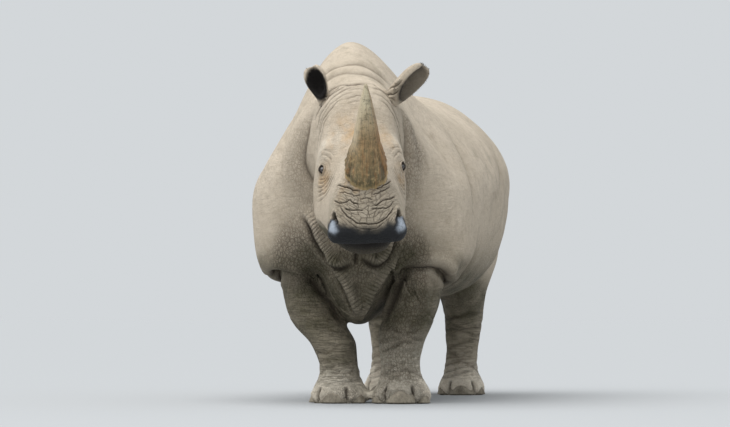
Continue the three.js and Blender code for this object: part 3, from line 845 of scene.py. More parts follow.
def shapeNostril(side, values):
    place = fromHead([side * values["place"][0], *values["place"][1:]])
    look = across * side * 0.72 + out * 0.69
    inner = across * side * -0.69 + out * 0.72
    near = np.flatnonzero(((basePoints - place)**2).sum(axis=1) < 0.09**2)
    apart = basePoints[near] - place
    down, inward = apart @ along, apart @ inner
    outward = apart @ look
    shape = np.sqrt((down / values["halfLong"])**2 + (inward / values["halfWide"])**2)
    slitAcross = np.abs(inward - 0.010 - 0.15 * down) / 0.0055
    slitDown = np.maximum(np.maximum(down - values["slit"], -down) / 0.008, 0)
    opening = np.minimum(shape, np.sqrt(slitAcross**2 + slitDown**2))
    facing = smoothStep(outward, -0.05, -0.02)
    inside = fading(opening, 0.82, 1.12) * facing
    deep = inside * (1 - 0.55 * smoothStep(down, 0.005, values["slit"]))
    shift[near] -= (look * 0.93 + along * 0.36) * (deep * values["depth"])[:, None]
    rim = bell((opening, 1.5, 0.4)) * facing * (down < 0.012)
    shift[near] += look * (rim * 0.006)[:, None]
    # painted shade inside the nostril
    raiseMark("hollow", inside, near)


def besideSolids(names, reach):  # the skin's points near some solids, and how far away each is
    solids = formFrom("near", names, 0)
    corners = readPoints(solids)
    tree = BVHTree.FromPolygons(corners.tolist(), [list(face.vertices) for face in solids.data.polygons])
    low, high = corners.min(axis=0) - reach, corners.max(axis=0) + reach
    chosen = np.flatnonzero(((basePoints > low) & (basePoints < high)).all(axis=1))
    found = [tree.find_nearest(Vector(spot), reach)[3] for spot in basePoints[chosen]]
    bpy.data.objects.remove(solids)
    near = np.array([distance is not None for distance in found])
    return chosen[near], np.array([distance for distance in found if distance is not None])


def ringHorns():  # the hide stands up in a soft roll round the root of each horn, with painted shade where it meets the horn
    near, distance = besideSolids(["horn_front", "horn_rear"], 0.05)
    push[near] += bell((distance, 0.013, 0.010)) * 0.006 - bell((distance, 0, 0.005)) * 0.004
    raiseMark("crease", bell((distance, 0, 0.005)) * 0.8, near)


def bedNails():
    for place in legPlaces:
        near, distance = besideSolids([f"nail_{place}_{toe}" for toe in toes], 0.03)
        push[near] += bell((distance, 0.013, 0.007)) * 0.004
        # painted shade where the skin meets each nail
        raiseMark("soilAndPaintedShade", bell((distance, 0, 0.008)) * 0.6, near)


shapeMouth(mouthForm)
for side in (1, -1):
    shapeNostril(side, nostrilForm)
ringHorns()
bedNails()


# the skin takes its folds

bodySwells = [
    # where, how wide and how far out
    ((0.0, -0.36, 1.74), 0.26, 0.016),  # the hump
    ((-0.56, -0.30, 0.95), 0.33, -0.013),  # the right shoulder
]
soleHeight = 0.0045
slow = softNoise(basePoints, 0.19, 5) * 0.004 + softNoise(basePoints, 0.08, 6) * 0.0018
for middle, radius, amount in bodySwells:
    push += ballAt(np.array(middle), radius) * amount
points = basePoints + baseNormals * (push + valley + slow)[:, None] + shift
points[:, 2] = np.where(points[:, 2] < soleHeight, 0.0, points[:, 2])  # the soles are flat on the floor


# eyelids: the skin swells over each eyeball and opens in a slit

eyeForm = {
    "radius": 0.0210,
    "lid": 0.0042,
    "rise": 0.0125,  # how far the lids stand out of the skin round them
    "halfLength": 0.0235,
    "upperRise": 0.0145,
    "lowerRise": 0.0125,
    "slant": 8,
    "look": (0.62, 0.12, 0.78),  # across, along and out
    # creases round the slit: how far from it, which lid, width and depth
    "creases": [(0.0115, 1, 0.0024, 0.0045), (0.024, 1, 0.0035, 0.0035), (0.040, 1, 0.006, 0.0025),
                (0.0095, -1, 0.0022, 0.0035), (0.019, -1, 0.0026, 0.004), (0.031, -1, 0.003, 0.004)],
    # bags round its nose side and the fold behind it: how far off, from and to which turn, width and depth
    "bags": [(0.047, -0.8, 0.9, 0.0035, 0.0055), (0.062, -0.7, 1.0, 0.004, 0.0065),
             (0.079, -0.7, 1.1, 0.0045, 0.0075), (0.097, -0.6, 1.0, 0.0045, 0.0075),
             (0.117, -0.5, 0.9, 0.005, 0.0065), (0.140, -0.4, 0.7, 0.005, 0.005),
             (0.068, 1.9, 3.9, 0.006, 0.0065), (0.092, 2.2, 3.4, 0.005, 0.004)],
    "brow": 0.017,  # how far the bone over the eye stands out
}


def placeEye(side, values):
    spot = eyeSpot(side)
    look = np.array([side * values["look"][0], values["look"][1], values["look"][2]]) @ headAxes
    look /= np.linalg.norm(look)
    found, place, _, _ = skin.ray_cast(spot + look * 0.3, -look)
    middle = np.array(place) + look * (values["rise"] - values["radius"] - values["lid"])
    onward = along - look * (along @ look)
    onward /= np.linalg.norm(onward)
    upward = np.cross(onward, look) * -side
    if upward @ out < 0:
        upward = -upward
    slant = math.radians(values["slant"])
    turned = onward * math.cos(slant) - upward * math.sin(slant)
    raised = onward * math.sin(slant) + upward * math.cos(slant)
    return {"middle": middle, "axes": np.array([turned, raised, look])}


def shapeLids(points, eye, values):
    near = np.flatnonzero(((points - eye["middle"])**2).sum(axis=1) < 0.19**2)
    onward, upward, outward = ((points[near] - eye["middle"]) @ eye["axes"].T).T
    gap = np.hypot(onward, upward)
    radius = values["radius"] + values["lid"]
    dome = np.sqrt(np.maximum(radius**2 - gap**2, 0))
    soft = 0.007
    height = (outward + dome + np.sqrt((outward - dome)**2 + soft**2)) / 2
    height = np.where(gap < radius * 1.3, height, outward)
    blend = smoothStep(gap, radius * 1.05, radius * 1.3)
    height = height * (1 - blend) + outward * blend

    bow = np.maximum(1 - (onward / values["halfLength"])**2, -1.5)
    upper, lower = upward - values["upperRise"] * bow, -upward - values["lowerRise"] * bow
    away = np.maximum(upper, lower)  # below 0 inside the slit
    wobble = softNoise(points[near], 0.02, 41) * 0.0022
    broken = 0.55 + 0.45 * softNoise(points[near], 0.024, 42)
    for distance, lid, width, depth in values["creases"]:
        part = smoothStep(upward * lid, -0.012, 0.006) * smoothStep(onward, -0.05, -0.01 - 0.02 * lid)
        part = part * smoothStep(-np.abs(onward), -0.075, -0.035) * np.where(distance > 0.015, broken, 1)
        ridge = np.exp(-np.abs(away + wobble * (1 + distance * 60) - distance) / width) * part
        height -= ridge * depth
        height += bell((away - distance, -width * 2.2, width * 1.5)) * part * depth * 0.45
        # painted shade in the lid's creases
        raiseMark("crease", ridge**2 * 0.7, near)
    turn = np.arctan2(upward, onward)
    turn = np.where(turn < -math.pi / 2, turn + math.tau, turn)
    for distance, start, stop, width, depth in values["bags"]:
        part = smoothStep(turn, start - 0.35, start + 0.25) * fading(turn, stop - 0.25, stop + 0.35)
        line = gap + wobble * 2.2 - distance
        ridge = np.exp(-np.abs(line) / width) * part * broken
        height -= ridge * depth
        height += bell((line, -width * 1.9, width * 1.4)) * part * depth * 0.4
        # painted shade in the creases round the eye
        raiseMark("crease", ridge**1.5 * 0.85, near)
    brow = bell((onward, -0.098, 0.045), (upward, 0.035, 0.065))
    height += brow * values["brow"]
    height += bell((away, 0.0035, 0.0028)) * 0.0018
    inside = fading(away, -0.0016, 0.0012)
    height -= inside * 0.014
    # painted shade round the edge of the lids and in the slit between them
    raiseMark("hollow", bell((away, 0.0002, 0.0026)) * 0.9, near)
    raiseMark("hollow", inside, near)
    points[near] += eye["axes"][2] * (height - outward)[:, None] * smoothStep(outward, -0.09, -0.04)[:, None]


eyes = [placeEye(side, eyeForm) for side in (1, -1)]
for eye in eyes:
    shapeLids(points, eye, eyeForm)


def buildEyeball(name, eye, values):
    makeActive(skin)
    bpy.ops.object.select_all(action="DESELECT")
    bpy.ops.mesh.primitive_uv_sphere_add(segments=48, ring_count=24, radius=values["radius"])
    ball = bpy.context.object
    ball.name = name
    bpy.ops.object.shade_smooth()
    places = readPoints(ball)
    polar = places / values["radius"]
    cornea = smoothStep(polar[:, 2], 0.86, 0.97) * 0.0012
    turned = (places + polar * cornea[:, None]) @ eye["axes"]
    writePoints(ball, turned + eye["middle"])
    storeValues(ball, "pupil", np.arccos(np.clip(polar[:, 2], -1, 1)))
    return ball


eyeballs = [buildEyeball("eyeball_" + name, eye, eyeForm) for name, eye in zip(("left", "right"), eyes)]
writePoints(skin, points)


# where the hide is paler, cracked, ringed, soiled or warm, and where painted shade and painted highlights go

earForms = {
    # which way each ear points and opens, how dark the painted shade is at its cup's far rim, and how far the
    # cup is off centre
    "left": {"along": (0.77, -0.1, 0.64), "opening": (0.72, -0.5, -0.5), "far": 0.36, "middle": 0.2},
    "right": {"along": (-0.36, -0.2, 0.9), "opening": (0.05, -0.95, -0.3), "far": 1.0, "middle": 0.0},
}


def shadeEar(name, side, values):  # painted shade in the cup of the ear, scaled towards its far rim by its far value; its rim and back are hide
    upward = Vector(values["along"]).normalized()
    opening = -Vector(values["opening"])
    back = (opening - upward * opening.dot(upward)).normalized()
    axes = np.array([back.cross(upward), back, upward])
    low, high = (np.array(corner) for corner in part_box("ear_" + name))
    near = np.flatnonzero(((basePoints > low - 0.005) & (basePoints < high + 0.005)).all(axis=1))
    local = (basePoints[near] - basePoints[near].mean(axis=0)) @ axes.T
    facing = baseNormals[near] @ axes.T
    middle = (local[:, 0].max() + local[:, 0].min()) / 2
    aside = (local[:, 0] - middle) / (local[:, 0].max() - middle)
    inwards = -np.sign(aside) * facing[:, 0]
    upwards = facing[:, 2] * (facing[:, 1] < 0.3)
    cup = smoothStep(np.maximum(np.maximum(-facing[:, 1], inwards), upwards), 0.1, 0.6)
    height = (local[:, 2] - local[:, 2].min()) / np.ptp(local[:, 2])
    reach = np.where(height < 0.62, 0.50, 0.36)
    fromCup = np.hypot((aside * side - values["middle"]) / 0.95, (height - 0.62) / reach)
    cup = cup * fading(fromCup, 0.82, 1.05)
    cup = cup * (1 + (values["far"] - 1) * smoothStep(aside * side, -0.4, 0.7))
    # painted shade in the ear's cup
    raiseMark("hollow", cup, near)


hidePaint = {
    # how strongly each part of the hide is cracked, soiled and given painted shade, paler and given a painted
    # highlight, and warm
    "cracks": {"neck": 0.95, "chest": 0.5, "pendant": 0.5, "armpits": 0.4, "belly": 0.4, "legs": 0.1,
               "knees": 0.2, "patches": 0.06},
    "soilAndPaintedShade": {"legs": 0.42, "knees": 0.5, "feet": 0.60, "pendant": 0.95, "underneath": 0.25, "armpits": 0.22,
             "belly": 0.8, "low": 0.18, "patches": 0.12, "muzzle": 0.36},
    "dust": {"shin": 0.6, "overEyes": 0.7},
    "warm": {"brow": 0.85, "overEyes": 1.3, "underHorn": 1.1, "underEyes": 0.95},
}


def paintHide(values):
    x, y, z = basePoints.T
    facingDown = -baseNormals[:, 2]
    patches = softNoise(basePoints, 0.35, 51) * 0.5 + 0.5
    legs = fading(z, 0.5, 0.66)
    feet = fading(z, 0.06, 0.2)
    inFront = fading(y, -0.5, -0.3)
    # the neck is cracked back to the shoulder, and further back low down
    low = fading(z, 0.68, 0.98)
    rightSide = fading(x, -0.15, 0.05)
    edge = -0.83 + 0.12 * x + 0.16 * low * fading(np.abs(x), 0.3, 0.5)
    edge = edge + softNoise(basePoints, 0.12, 52) * 0.03
    neck = smoothStep(edge - 0.02 * rightSide - y, -0.06, 0.05) * (1 - 0.45 * rightSide)
    neck = neck * fading(z, 1.3, 1.5) * (1 - 0.8 * isHead)
    chest = fading(np.abs(x), 0.26, 0.4) * inFront * fading(z, 0.72, 0.9)
    pendant = fading(np.abs(x - 0.03), 0.17, 0.32) * inFront * fading(z, 0.68, 0.84)
    armpits = bell((z, 0.66, 0.1), (np.abs(x - 0.02), 0.27, 0.13)) * inFront
    belly = smoothStep(facingDown, 0.1, 0.8) * fading(z, 0.75, 0.95)
    underJaw = isHead * smoothStep(-w - np.maximum(0.885 - v, 0) * 0.5, 0.05, 0.12) * smoothStep(v, 0.5, 0.62)
    muzzle = isHead * smoothStep(v, 0.6, 0.7) * smoothStep(w, -0.06, 0.04)

    amount = values["cracks"]
    cracks = neck * amount["neck"] + chest * (1 - legs) * (amount["chest"] + amount["pendant"] * pendant)
    cracks = cracks + armpits * amount["armpits"] + belly * amount["belly"]
    cracks = cracks + legs * (amount["legs"] + amount["knees"] * smoothStep(z, 0.2, 0.5))
    cracks = cracks + amount["patches"] * patches
    marks["cracks"][:] = np.clip(cracks, 0, 1)
    marks["rings"][:] = legs * (0.5 + 0.5 * patches) * smoothStep(z, 0.05, 0.1)

    # dark olive: dirt in patches and on the muzzle; painted shade on the legs, darker up under the shoulder's
    # hem, on the chest's point, the belly and other undersides, in the armpits and under the jaw; and darker
    # low on the body, in patches
    amount = values["soilAndPaintedShade"]
    soilAndPaintedShade = legs * (amount["legs"] + amount["knees"] * smoothStep(z, 0.12, 0.52) - amount["feet"] * feet)
    soilAndPaintedShade = soilAndPaintedShade + pendant * (amount["pendant"] + amount["underneath"] * facingDown)
    soilAndPaintedShade = soilAndPaintedShade + armpits * amount["armpits"] + underJaw
    soilAndPaintedShade = soilAndPaintedShade + belly * amount["belly"] * (1 - isHead)
    soilAndPaintedShade = soilAndPaintedShade + amount["low"] * smoothStep(-z, -1.0, -0.6) * patches
    soilAndPaintedShade = np.clip(soilAndPaintedShade + amount["patches"] * (patches - 0.5), 0, 1)
    marks["soilAndPaintedShade"][:] = np.clip(soilAndPaintedShade + muzzle * amount["muzzle"], 0, 1)

    # paler at the feet and low on the left front leg; a painted highlight on the brow over each eye
    amount = values["dust"]
    shin = fading(z, 0.2, 0.4) * fading(y, -0.6, -0.4) * smoothStep(x, 0.02, 0.08) * amount["shin"]
    overEyes = sum(ballAt(eye["middle"] - along * 0.11 + out * 0.03, 0.075) for eye in eyes)
    dust = np.maximum(legs * fading(z, 0.08, 0.22), shin) + overEyes * amount["overEyes"]
    marks["dust"][:] = np.clip(dust, 0, 1)

    amount = values["warm"]
    brow = bell((v, 0.30, 0.09), (u, -0.03, 0.14), (w, 0.03, 0.12))
    overEyes = bell((v, 0.33, 0.045), (np.abs(u), 0.12, 0.06), (w, -0.01, 0.07)) * amount["overEyes"]
    underHorn = bell((v, 0.70, 0.05), (u, -0.05, 0.09), (w, 0.12, 0.06))
    underEyes = sum(ballAt(eye["middle"] + along * 0.06, 0.055) for eye in eyes)
    warm = np.maximum(brow, overEyes) * amount["brow"] + underHorn * amount["underHorn"]
    marks["warm"][:] = np.clip(warm + underEyes * amount["underEyes"], 0, 1) * isHead
    for name, side in (("left", 1), ("right", -1)):
        shadeEar(name, side, earForms[name])


paintHide(hidePaint)
# how hollow or ridged the skin is at each point; the hide's colour takes painted shade in the hollows and a
# painted highlight on the ridges from it
hollowness = ((evened(skin, points, 10, 0.5) - points) * readNormals(skin)).sum(axis=1)
marks["relief"][:] = np.clip(0.5 + hollowness / 0.006, 0, 1)
for name, values in marks.items():
    storeValues(skin, name, values)
skinNormals = readNormals(skin)
print("hide painted")


# fewer faces where the skin is plain

def thinOut(piece, keep, faces):  # only the points that aren't kept lose faces
    group = piece.vertex_groups.new(name="thin")
    group.add(np.flatnonzero(~keep).tolist(), 1.0, "REPLACE")
    applyModifier(piece, "TRIANGULATE")
    total = len(piece.data.polygons)
    applyModifier(piece, "DECIMATE", ratio=faces / total, vertex_group="thin", vertex_group_factor=0.0)
    piece.vertex_groups.remove(piece.vertex_groups["thin"])
    print("skin faces", len(piece.data.polygons))


fineFaces = int(isFine(faceMiddles(skin)).sum() * 2)
thinOut(skin, isFine(points), skinForm["bodyFaces"] + fineFaces)
thinOut(skin, ~isFine(readPoints(skin)), skinForm["bodyFaces"] + skinForm["fineFaces"])
makeActive(skin)
bpy.ops.object.shade_smooth()


# horns

hornForms = {
    "front": {
        "root": (0.008, 0.608, 0.096), "bend": (0.014, 0.600, 0.338), "tip": (0.020, 0.370, 0.463),
        "wide": (0.092, 0.099, 0.080, 0.063, 0.054, 0.041, 0.027, 0.006),
        "deep": (0.104, 0.112, 0.088, 0.068, 0.058, 0.044, 0.028, 0.006),
        "sides": 120, "rings": 60, "fibre": 0.0020, "fray": 0.0120,
    },
    "rear": {
        "root": (0.0, 0.436, 0.050), "bend": (0.0, 0.440, 0.140), "tip": (0.0, 0.404, 0.198),
        "wide": (0.056, 0.050, 0.036, 0.008),
        "deep": (0.060, 0.054, 0.042, 0.008),
        "sides": 80, "rings": 24, "fibre": 0.0014, "fray": 0.004,
    },
}


def buildHorn(name, values):
    bpy.ops.object.select_all(action="DESELECT")
    bpy.ops.mesh.primitive_circle_add(vertices=values["sides"], radius=1, fill_type="NGON",
                                      location=(0, 0, 0))
    horn = bpy.context.object
    horn.name = name
    bpy.ops.object.mode_set(mode="EDIT")
    for _ in range(values["rings"]):
        bpy.ops.mesh.extrude_region_move(TRANSFORM_OT_translate={"value": (0, 0, 1 / values["rings"])})
    bpy.ops.mesh.select_all(action="SELECT")
    bpy.ops.mesh.normals_make_consistent(inside=False)
    bpy.ops.object.mode_set(mode="OBJECT")
    applyModifier(horn, "SUBSURF", levels=1, render_levels=1, subdivision_type="SIMPLE")

    column = readPoints(horn)
    turn = np.arctan2(column[:, 1], column[:, 0])
    share = np.hypot(column[:, 0], column[:, 1]) / np.cos(np.pi / values["sides"])
    share = np.minimum(share, 1)
    run = column[:, 2]
    stations = np.linspace(0, 1, len(values["wide"]))
    wide, deep = np.interp(run, stations, values["wide"]), np.interp(run, stations, values["deep"])
    rounded = np.sqrt(np.clip(1 - ((run - 0.985) / 0.015).clip(0)**2, 0.02, 1))
    root, bend, tip = (fromHead(values[key]) for key in ("root", "bend", "tip"))
    after = run[:, None]
    spine = (1 - after)**2 * root + 2 * after * (1 - after) * bend + after**2 * tip
    heading = 2 * (1 - after) * (bend - root) + 2 * after * (tip - bend)
    heading /= np.linalg.norm(heading, axis=1)[:, None]
    front = np.cross(across, heading)
    front /= np.linalg.norm(front, axis=1)[:, None]
    sideways = np.cross(heading, front)

    grain = np.stack([np.cos(turn) * 0.09, np.sin(turn) * 0.09, run * 0.07], axis=1)
    ridges = softNoise(grain, 0.006, 71) * 0.6 + softNoise(grain, 0.013, 72) * 0.7
    frayed = fading(run, 0.15, 0.62) * values["fray"]
    wear = softNoise(grain * (1, 1, 2.4), 0.028, 73) * frayed
    wear = wear + softNoise(grain * (1, 1, 5), 0.011, 74) * frayed * 0.35
    collar = bell((run, 0.045, 0.03)) * 0.004
    level = 1 + (ridges * values["fibre"] * (1 - 0.75 * run) + wear + collar) / np.maximum(wide, 0.01)
    radius = share * rounded * level
    places = spine + sideways * (np.cos(turn) * wide * radius)[:, None]
    places = places + front * (np.sin(turn) * deep * radius)[:, None]
    writePoints(horn, places)
    layer = horn.data.attributes.new("grain", "FLOAT_VECTOR", "POINT")
    layer.data.foreach_set("vector", np.ascontiguousarray(grain, dtype=np.float32).ravel())
    storeValues(horn, "run", run)
    storeValues(horn, "wear", np.clip(0.5 + wear / (values["fray"] * 2) + ridges * 0.15, 0, 1))
    faceOutwards(horn)
    bpy.ops.object.shade_smooth()
    return horn


horns = {name: buildHorn("horn_" + name + "_keratin", values) for name, values in hornForms.items()}
print("horns built")


# toenails, one modelled and then copied to each toe

nailForm = {
    "halfWidths": {"inner": 0.044, "middle": 0.070, "outer": 0.044},
    "heights": {"inner": 0.050, "middle": 0.060, "outer": 0.050},
    "halfDepth": 0.022,
    "lean": -0.35,
    "clearance": 0.004,  # the nails end this far above the floor
    "wear": 0.0022,
}


def modelNail():  # a blunt plate, half a lens, bowed forwards and cut off level below
    bpy.ops.object.select_all(action="DESELECT")
    bpy.ops.mesh.primitive_uv_sphere_add(segments=48, ring_count=26, radius=1, location=(0, 0, 0))
    nail = bpy.context.object
    nail.name = "nail"
    bpy.ops.object.mode_set(mode="EDIT")
    bpy.ops.mesh.select_all(action="SELECT")
    bpy.ops.mesh.bisect(plane_co=(0, 0, -0.12), plane_no=(0, 0, 1), clear_inner=True, use_fill=True)
    bpy.ops.mesh.select_all(action="SELECT")
    bpy.ops.mesh.bisect(plane_co=(0, 0.35, 0), plane_no=(0, -1, 0), clear_inner=True, use_fill=True)
    bpy.ops.mesh.select_all(action="SELECT")
    bpy.ops.mesh.normals_make_consistent(inside=False)
    bpy.ops.object.mode_set(mode="OBJECT")
    return nail


def copyNails(pattern, values):
    nails = []
    base = readPoints(pattern)
    for index, place in enumerate(legPlaces):
        foot = boxMiddle("foot_" + place)
        for step, toe in enumerate(toes):
            node = f"nail_{place}_{toe}"
            solid = readPoints(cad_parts[node])
            middle = (solid.min(axis=0) + solid.max(axis=0)) / 2
            turn = math.atan2(middle[0] - foot.x, foot.y - middle[1])
            outward = np.array([math.sin(turn), -math.cos(turn), 0])
            sideways = np.array([math.cos(turn), math.sin(turn), 0])
            size = np.array([values["halfWidths"][toe], values["halfDepth"], values["heights"][toe]])
            shape = base * size
            bowed = shape[:, 0]**2 / (size[0] * 2.6)
            seed = index * 3 + step
            lines = np.stack([shape[:, 0], np.full(len(shape), seed * 0.31), shape[:, 2] * 0.15], axis=1)
            chips = softNoise(lines + 5, 0.02, 81) * smoothStep(-shape[:, 2], -0.02, 0.0)
            outer = softNoise(lines, 0.004, 80) * 0.3 + softNoise(lines, 0.012, 82) * 0.5 + chips * 0.8
            depth = -shape[:, 1] * (1 + outer * values["wear"] / values["halfDepth"]) - bowed
            depth -= shape[:, 2] * math.tan(-values["lean"]) * 0.8
            places = middle * (1, 1, 0) + sideways * shape[:, :1] + outward * depth[:, None]
            places[:, 2] = shape[:, 2] - shape[:, 2].min() + values["clearance"]
            centre = places.mean(axis=0)
            places += outward * (((solid - centre) @ outward).max() - ((places - centre) @ outward).max())
            nail = pattern.copy()
            nail.data = pattern.data.copy()
            nail.name = node + "_plate"
            scene.collection.objects.link(nail)
            writePoints(nail, places)
            faceOutwards(nail)
            bpy.ops.object.shade_smooth()
            storeValues(nail, "side", shape[:, 0] + seed * 0.37)
            nails.append((node, nail))
    bpy.data.objects.remove(pattern)
    return nails


nails = copyNails(modelNail(), nailForm)
print("nails placed", len(nails))


# hair: one strand modelled, then many copies rooted on the skin

hairForms = {
    "ears": {"spacing": 0.0032, "length": 0.0085, "width": 0.00055, "droop": 0.1},
    "tail": {"count": 420, "length": 0.15, "width": 0.0016, "droop": 0.25},
    "lashes": {"count": 26, "length": 0.013, "width": 0.0006, "droop": -0.25},
    "patch": 0.003,  # how wide each strand's place is on the unwrapped skin
}


def modelStrand():  # a tapering five-sided strand along Z
    bpy.ops.object.select_all(action="DESELECT")
    bpy.ops.mesh.primitive_cone_add(vertices=5, radius1=1, radius2=0.18, depth=1, location=(0, 0, 0.5))
    strand = bpy.context.object
    bpy.ops.object.transform_apply(location=True)
    bpy.ops.object.mode_set(mode="EDIT")
    for height in (0.3, 0.6, 0.85):
        bpy.ops.mesh.select_all(action="SELECT")
        bpy.ops.mesh.bisect(plane_co=(0, 0, height), plane_no=(0, 0, 1))
    bpy.ops.object.mode_set(mode="OBJECT")
    points = readPoints(strand)
    faces = [list(face.vertices) for face in strand.data.polygons]
    bpy.data.objects.remove(strand)
    return points, faces


def growHair(name, roots, ways, values, seed):
    length, width, droop = (values[key] for key in ("length", "width", "droop"))
    points, faces = modelStrand()
    cells = np.zeros((len(roots), 3), dtype=np.int64)
    cells[:, 0] = np.arange(len(roots))
    chance = [randomAt(cells, seed + step) for step in range(6)]
    ways = ways + np.stack([chance[0] - 0.5, chance[1] - 0.5, chance[2] - 0.5], axis=1) * 0.55
    ways /= np.linalg.norm(ways, axis=1)[:, None]
    level = np.cross(ways, np.where(np.abs(ways[:, 2:]) > 0.9, [[1.0, 0, 0]], [[0, 0, 1.0]]))
    level /= np.linalg.norm(level, axis=1)[:, None]
    third = np.cross(ways, level)
    lengths = length * (0.6 + 0.55 * chance[3])
    height = points[:, 2][None, :, None]
    thick = width * (0.75 + 0.5 * chance[4])[:, None, None]
    places = roots[:, None] + ways[:, None] * height * lengths[:, None, None]
    section = level[:, None] * points[:, 0][None, :, None] + third[:, None] * points[:, 1][None, :, None]
    places = places + section * thick
    places[:, :, 2] -= (height[:, :, 0]**2) * (droop * lengths)[:, None]
    bend = (chance[5] - 0.5)[:, None, None] * 0.3 * lengths[:, None, None]
    places = places + level[:, None] * height**2 * bend - ways[:, None] * width
    count = len(points)
    mesh = bpy.data.meshes.new(name)
    starts = range(0, len(roots) * count, count)
    strandFaces = [[corner + start for corner in face] for start in starts for face in faces]
    mesh.from_pydata(places.reshape(-1, 3).tolist(), [], strandFaces)
    hair = bpy.data.objects.new(name, mesh)
    scene.collection.objects.link(hair)
    layer = mesh.uv_layers.new(name="OFBake")
    skinMap = skin.data.uv_layers["OFBake"].data
    spots = []
    for root in roots:
        _, _, _, face = skin.closest_point_on_mesh(Vector(root))
        corners = skin.data.polygons[face].loop_indices
        spots.append(sum((skinMap[corner].uv for corner in corners), Vector((0, 0))) / len(corners))
    spots = np.array(spots)
    patch = hairForms["patch"]
    local = np.stack([np.arctan2(points[:, 1], points[:, 0]) / math.tau, points[:, 2] - 0.5], axis=1) * patch
    corners = np.empty(len(mesh.loops), dtype=np.int64)
    mesh.loops.foreach_get("vertex_index", corners)
    layer.data.foreach_set("uv", (spots[corners // count] + local[corners % count]).ravel())
    storeValues(hair, "run", np.tile(points[:, 2], len(roots)))
    faceOutwards(hair)
    bpy.ops.object.shade_smooth()
    return hair


def insideBox(node, grow):
    low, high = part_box(node)
    return ((points > np.array(low) - grow) & (points < np.array(high) + grow)).all(axis=1)


def spreadOut(candidates, spacing):  # one candidate in each small cell of space
    cells = np.floor(points[candidates] / spacing).astype(np.int64)
    _, first = np.unique(cells, axis=0, return_index=True)
    return candidates[np.sort(first)]


def growEarFringe(name, values):
    low, high = (np.array(corner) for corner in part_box(name))
    rootEnd = headCrown + (-0.05 * along)
    far = np.linalg.norm(points - rootEnd, axis=1)
    inEar = insideBox(name, 0.005) & (far > 0.2)
    rim = inEar & (marks["relief"] < np.percentile(marks["relief"][inEar], 5))
    chosen = spreadOut(np.flatnonzero(rim), values["spacing"])
    ways = skinNormals[chosen] * 1.0 + (points[chosen] - (low + high) / 2) * 4
    return growHair(name + "_fringe", points[chosen], ways, values, 90)


def growTailTuft(values):
    low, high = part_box("tail_tuft")
    x, y, z = points.T
    near = (x > low.x - 0.01) & (x < high.x + 0.01) & (y > low.y - 0.01) & (y < high.y + 0.01)
    chosen = np.flatnonzero(near & (z < high.z + 0.03) & (z > high.z - 0.02))
    chance = randomAt(np.stack([np.arange(values["count"])] * 3, axis=1), 91)
    picks = chosen[(chance * len(chosen)).astype(np.int64)]
    ways = skinNormals[picks] * (0.28, 0.28, 0) + (0, 0.0, -1.0)
    return growHair("tail_bristles", points[picks], ways * 1.5, values, 92)


def growLashes(name, eye, values):
    share = np.linspace(-0.85, 0.85, values["count"])
    onward = share * eyeForm["halfLength"]
    upward = eyeForm["upperRise"] * (1 - share**2) + 0.002
    radius = eyeForm["radius"] + eyeForm["lid"]
    outward = np.sqrt(np.maximum(radius**2 - onward**2 - upward**2, 0)) + 0.0005
    roots = eye["middle"] + np.stack([onward, upward, outward], axis=1) @ eye["axes"]
    ways = np.stack([share * 0.4, np.full_like(share, 0.35), np.ones_like(share)], axis=1) @ eye["axes"] * 1.6
    return growHair(name, roots, ways, values, 94)


hairs = [growEarFringe("ear_left", hairForms["ears"]), growEarFringe("ear_right", hairForms["ears"])]
tailHair = growTailTuft(hairForms["tail"])
for name, eye in zip(("left", "right"), eyes):
    hairs.append(growLashes("lashes_" + name, eye, hairForms["lashes"]))
print("hair grown", [len(hair.data.polygons) for hair in [*hairs, tailHair]])


# materials

def startMaterial(name):
    material = bpy.data.materials.new(name)
    material.use_nodes = True
    return material, material.node_tree, material.node_tree.nodes["Principled BSDF"]


def addNode(tree, kind, **sockets):  # a node with its sockets set, or linked where another socket is given
    node = tree.nodes.new("ShaderNode" + kind)
    for key, value in sockets.items():
        if hasattr(node, key):
            setattr(node, key, value)
            continue
        socket = node.inputs[int(key[1:])] if key[0] == "i" and key[1:].isdigit() else node.inputs[key]
        setSocket(socket, value)
    return node


def setSocket(socket, value):
    if isinstance(value, bpy.types.NodeSocket):
        socket.id_data.links.new(value, socket)
    else:
        socket.default_value = value


def mathNode(operation, *values, clamp=False):  # made in the tree of the first socket among its values
    tree = next(value.id_data for value in values if isinstance(value, bpy.types.NodeSocket))
    node = tree.nodes.new("ShaderNodeMath")
    node.operation = operation
    node.use_clamp = clamp
    for socket, value in zip(node.inputs, values):
        setSocket(socket, value)
    return node.outputs[0]


def times(one, other, clamp=False):
    return mathNode("MULTIPLY", one, other, clamp=clamp)


def timesPlus(one, factor, added):
    return mathNode("MULTIPLY_ADD", one, factor, added)


def ramp(value, low, high, start=0.0, stop=1.0):
    return addNode(value.id_data, "MapRange", i0=value, i1=low, i2=high, i3=start, i4=stop).outputs[0]


def mixColors(share, first, second, blend="MIX"):
    node = share.id_data.nodes.new("ShaderNodeMix")
    node.data_type = "RGBA"
    node.blend_type = blend
    setSocket(node.inputs[0], share)
    for socket, value in ((node.inputs[6], first), (node.inputs[7], second)):
        setSocket(socket, (*value, 1) if isinstance(value, tuple) else value)
    return node.outputs[2]


def addCoats(color, look, *coats):  # each coat is how much of it shows, and the name of its colour
    for share, name in coats:
        color = mixColors(share, color, look[name])
    return color


def readMark(tree, name):
    return addNode(tree, "Attribute", attribute_name=name).outputs["Fac"]


def noiseAt(place, scale, detail=4.0, roughness=0.55):
    node = addNode(place.id_data, "TexNoise", Vector=place, Scale=scale, Detail=detail, Roughness=roughness)
    return node.outputs[0]


def stretched(place, scale):
    return addNode(place.id_data, "Mapping", Vector=place, Scale=scale).outputs[0]


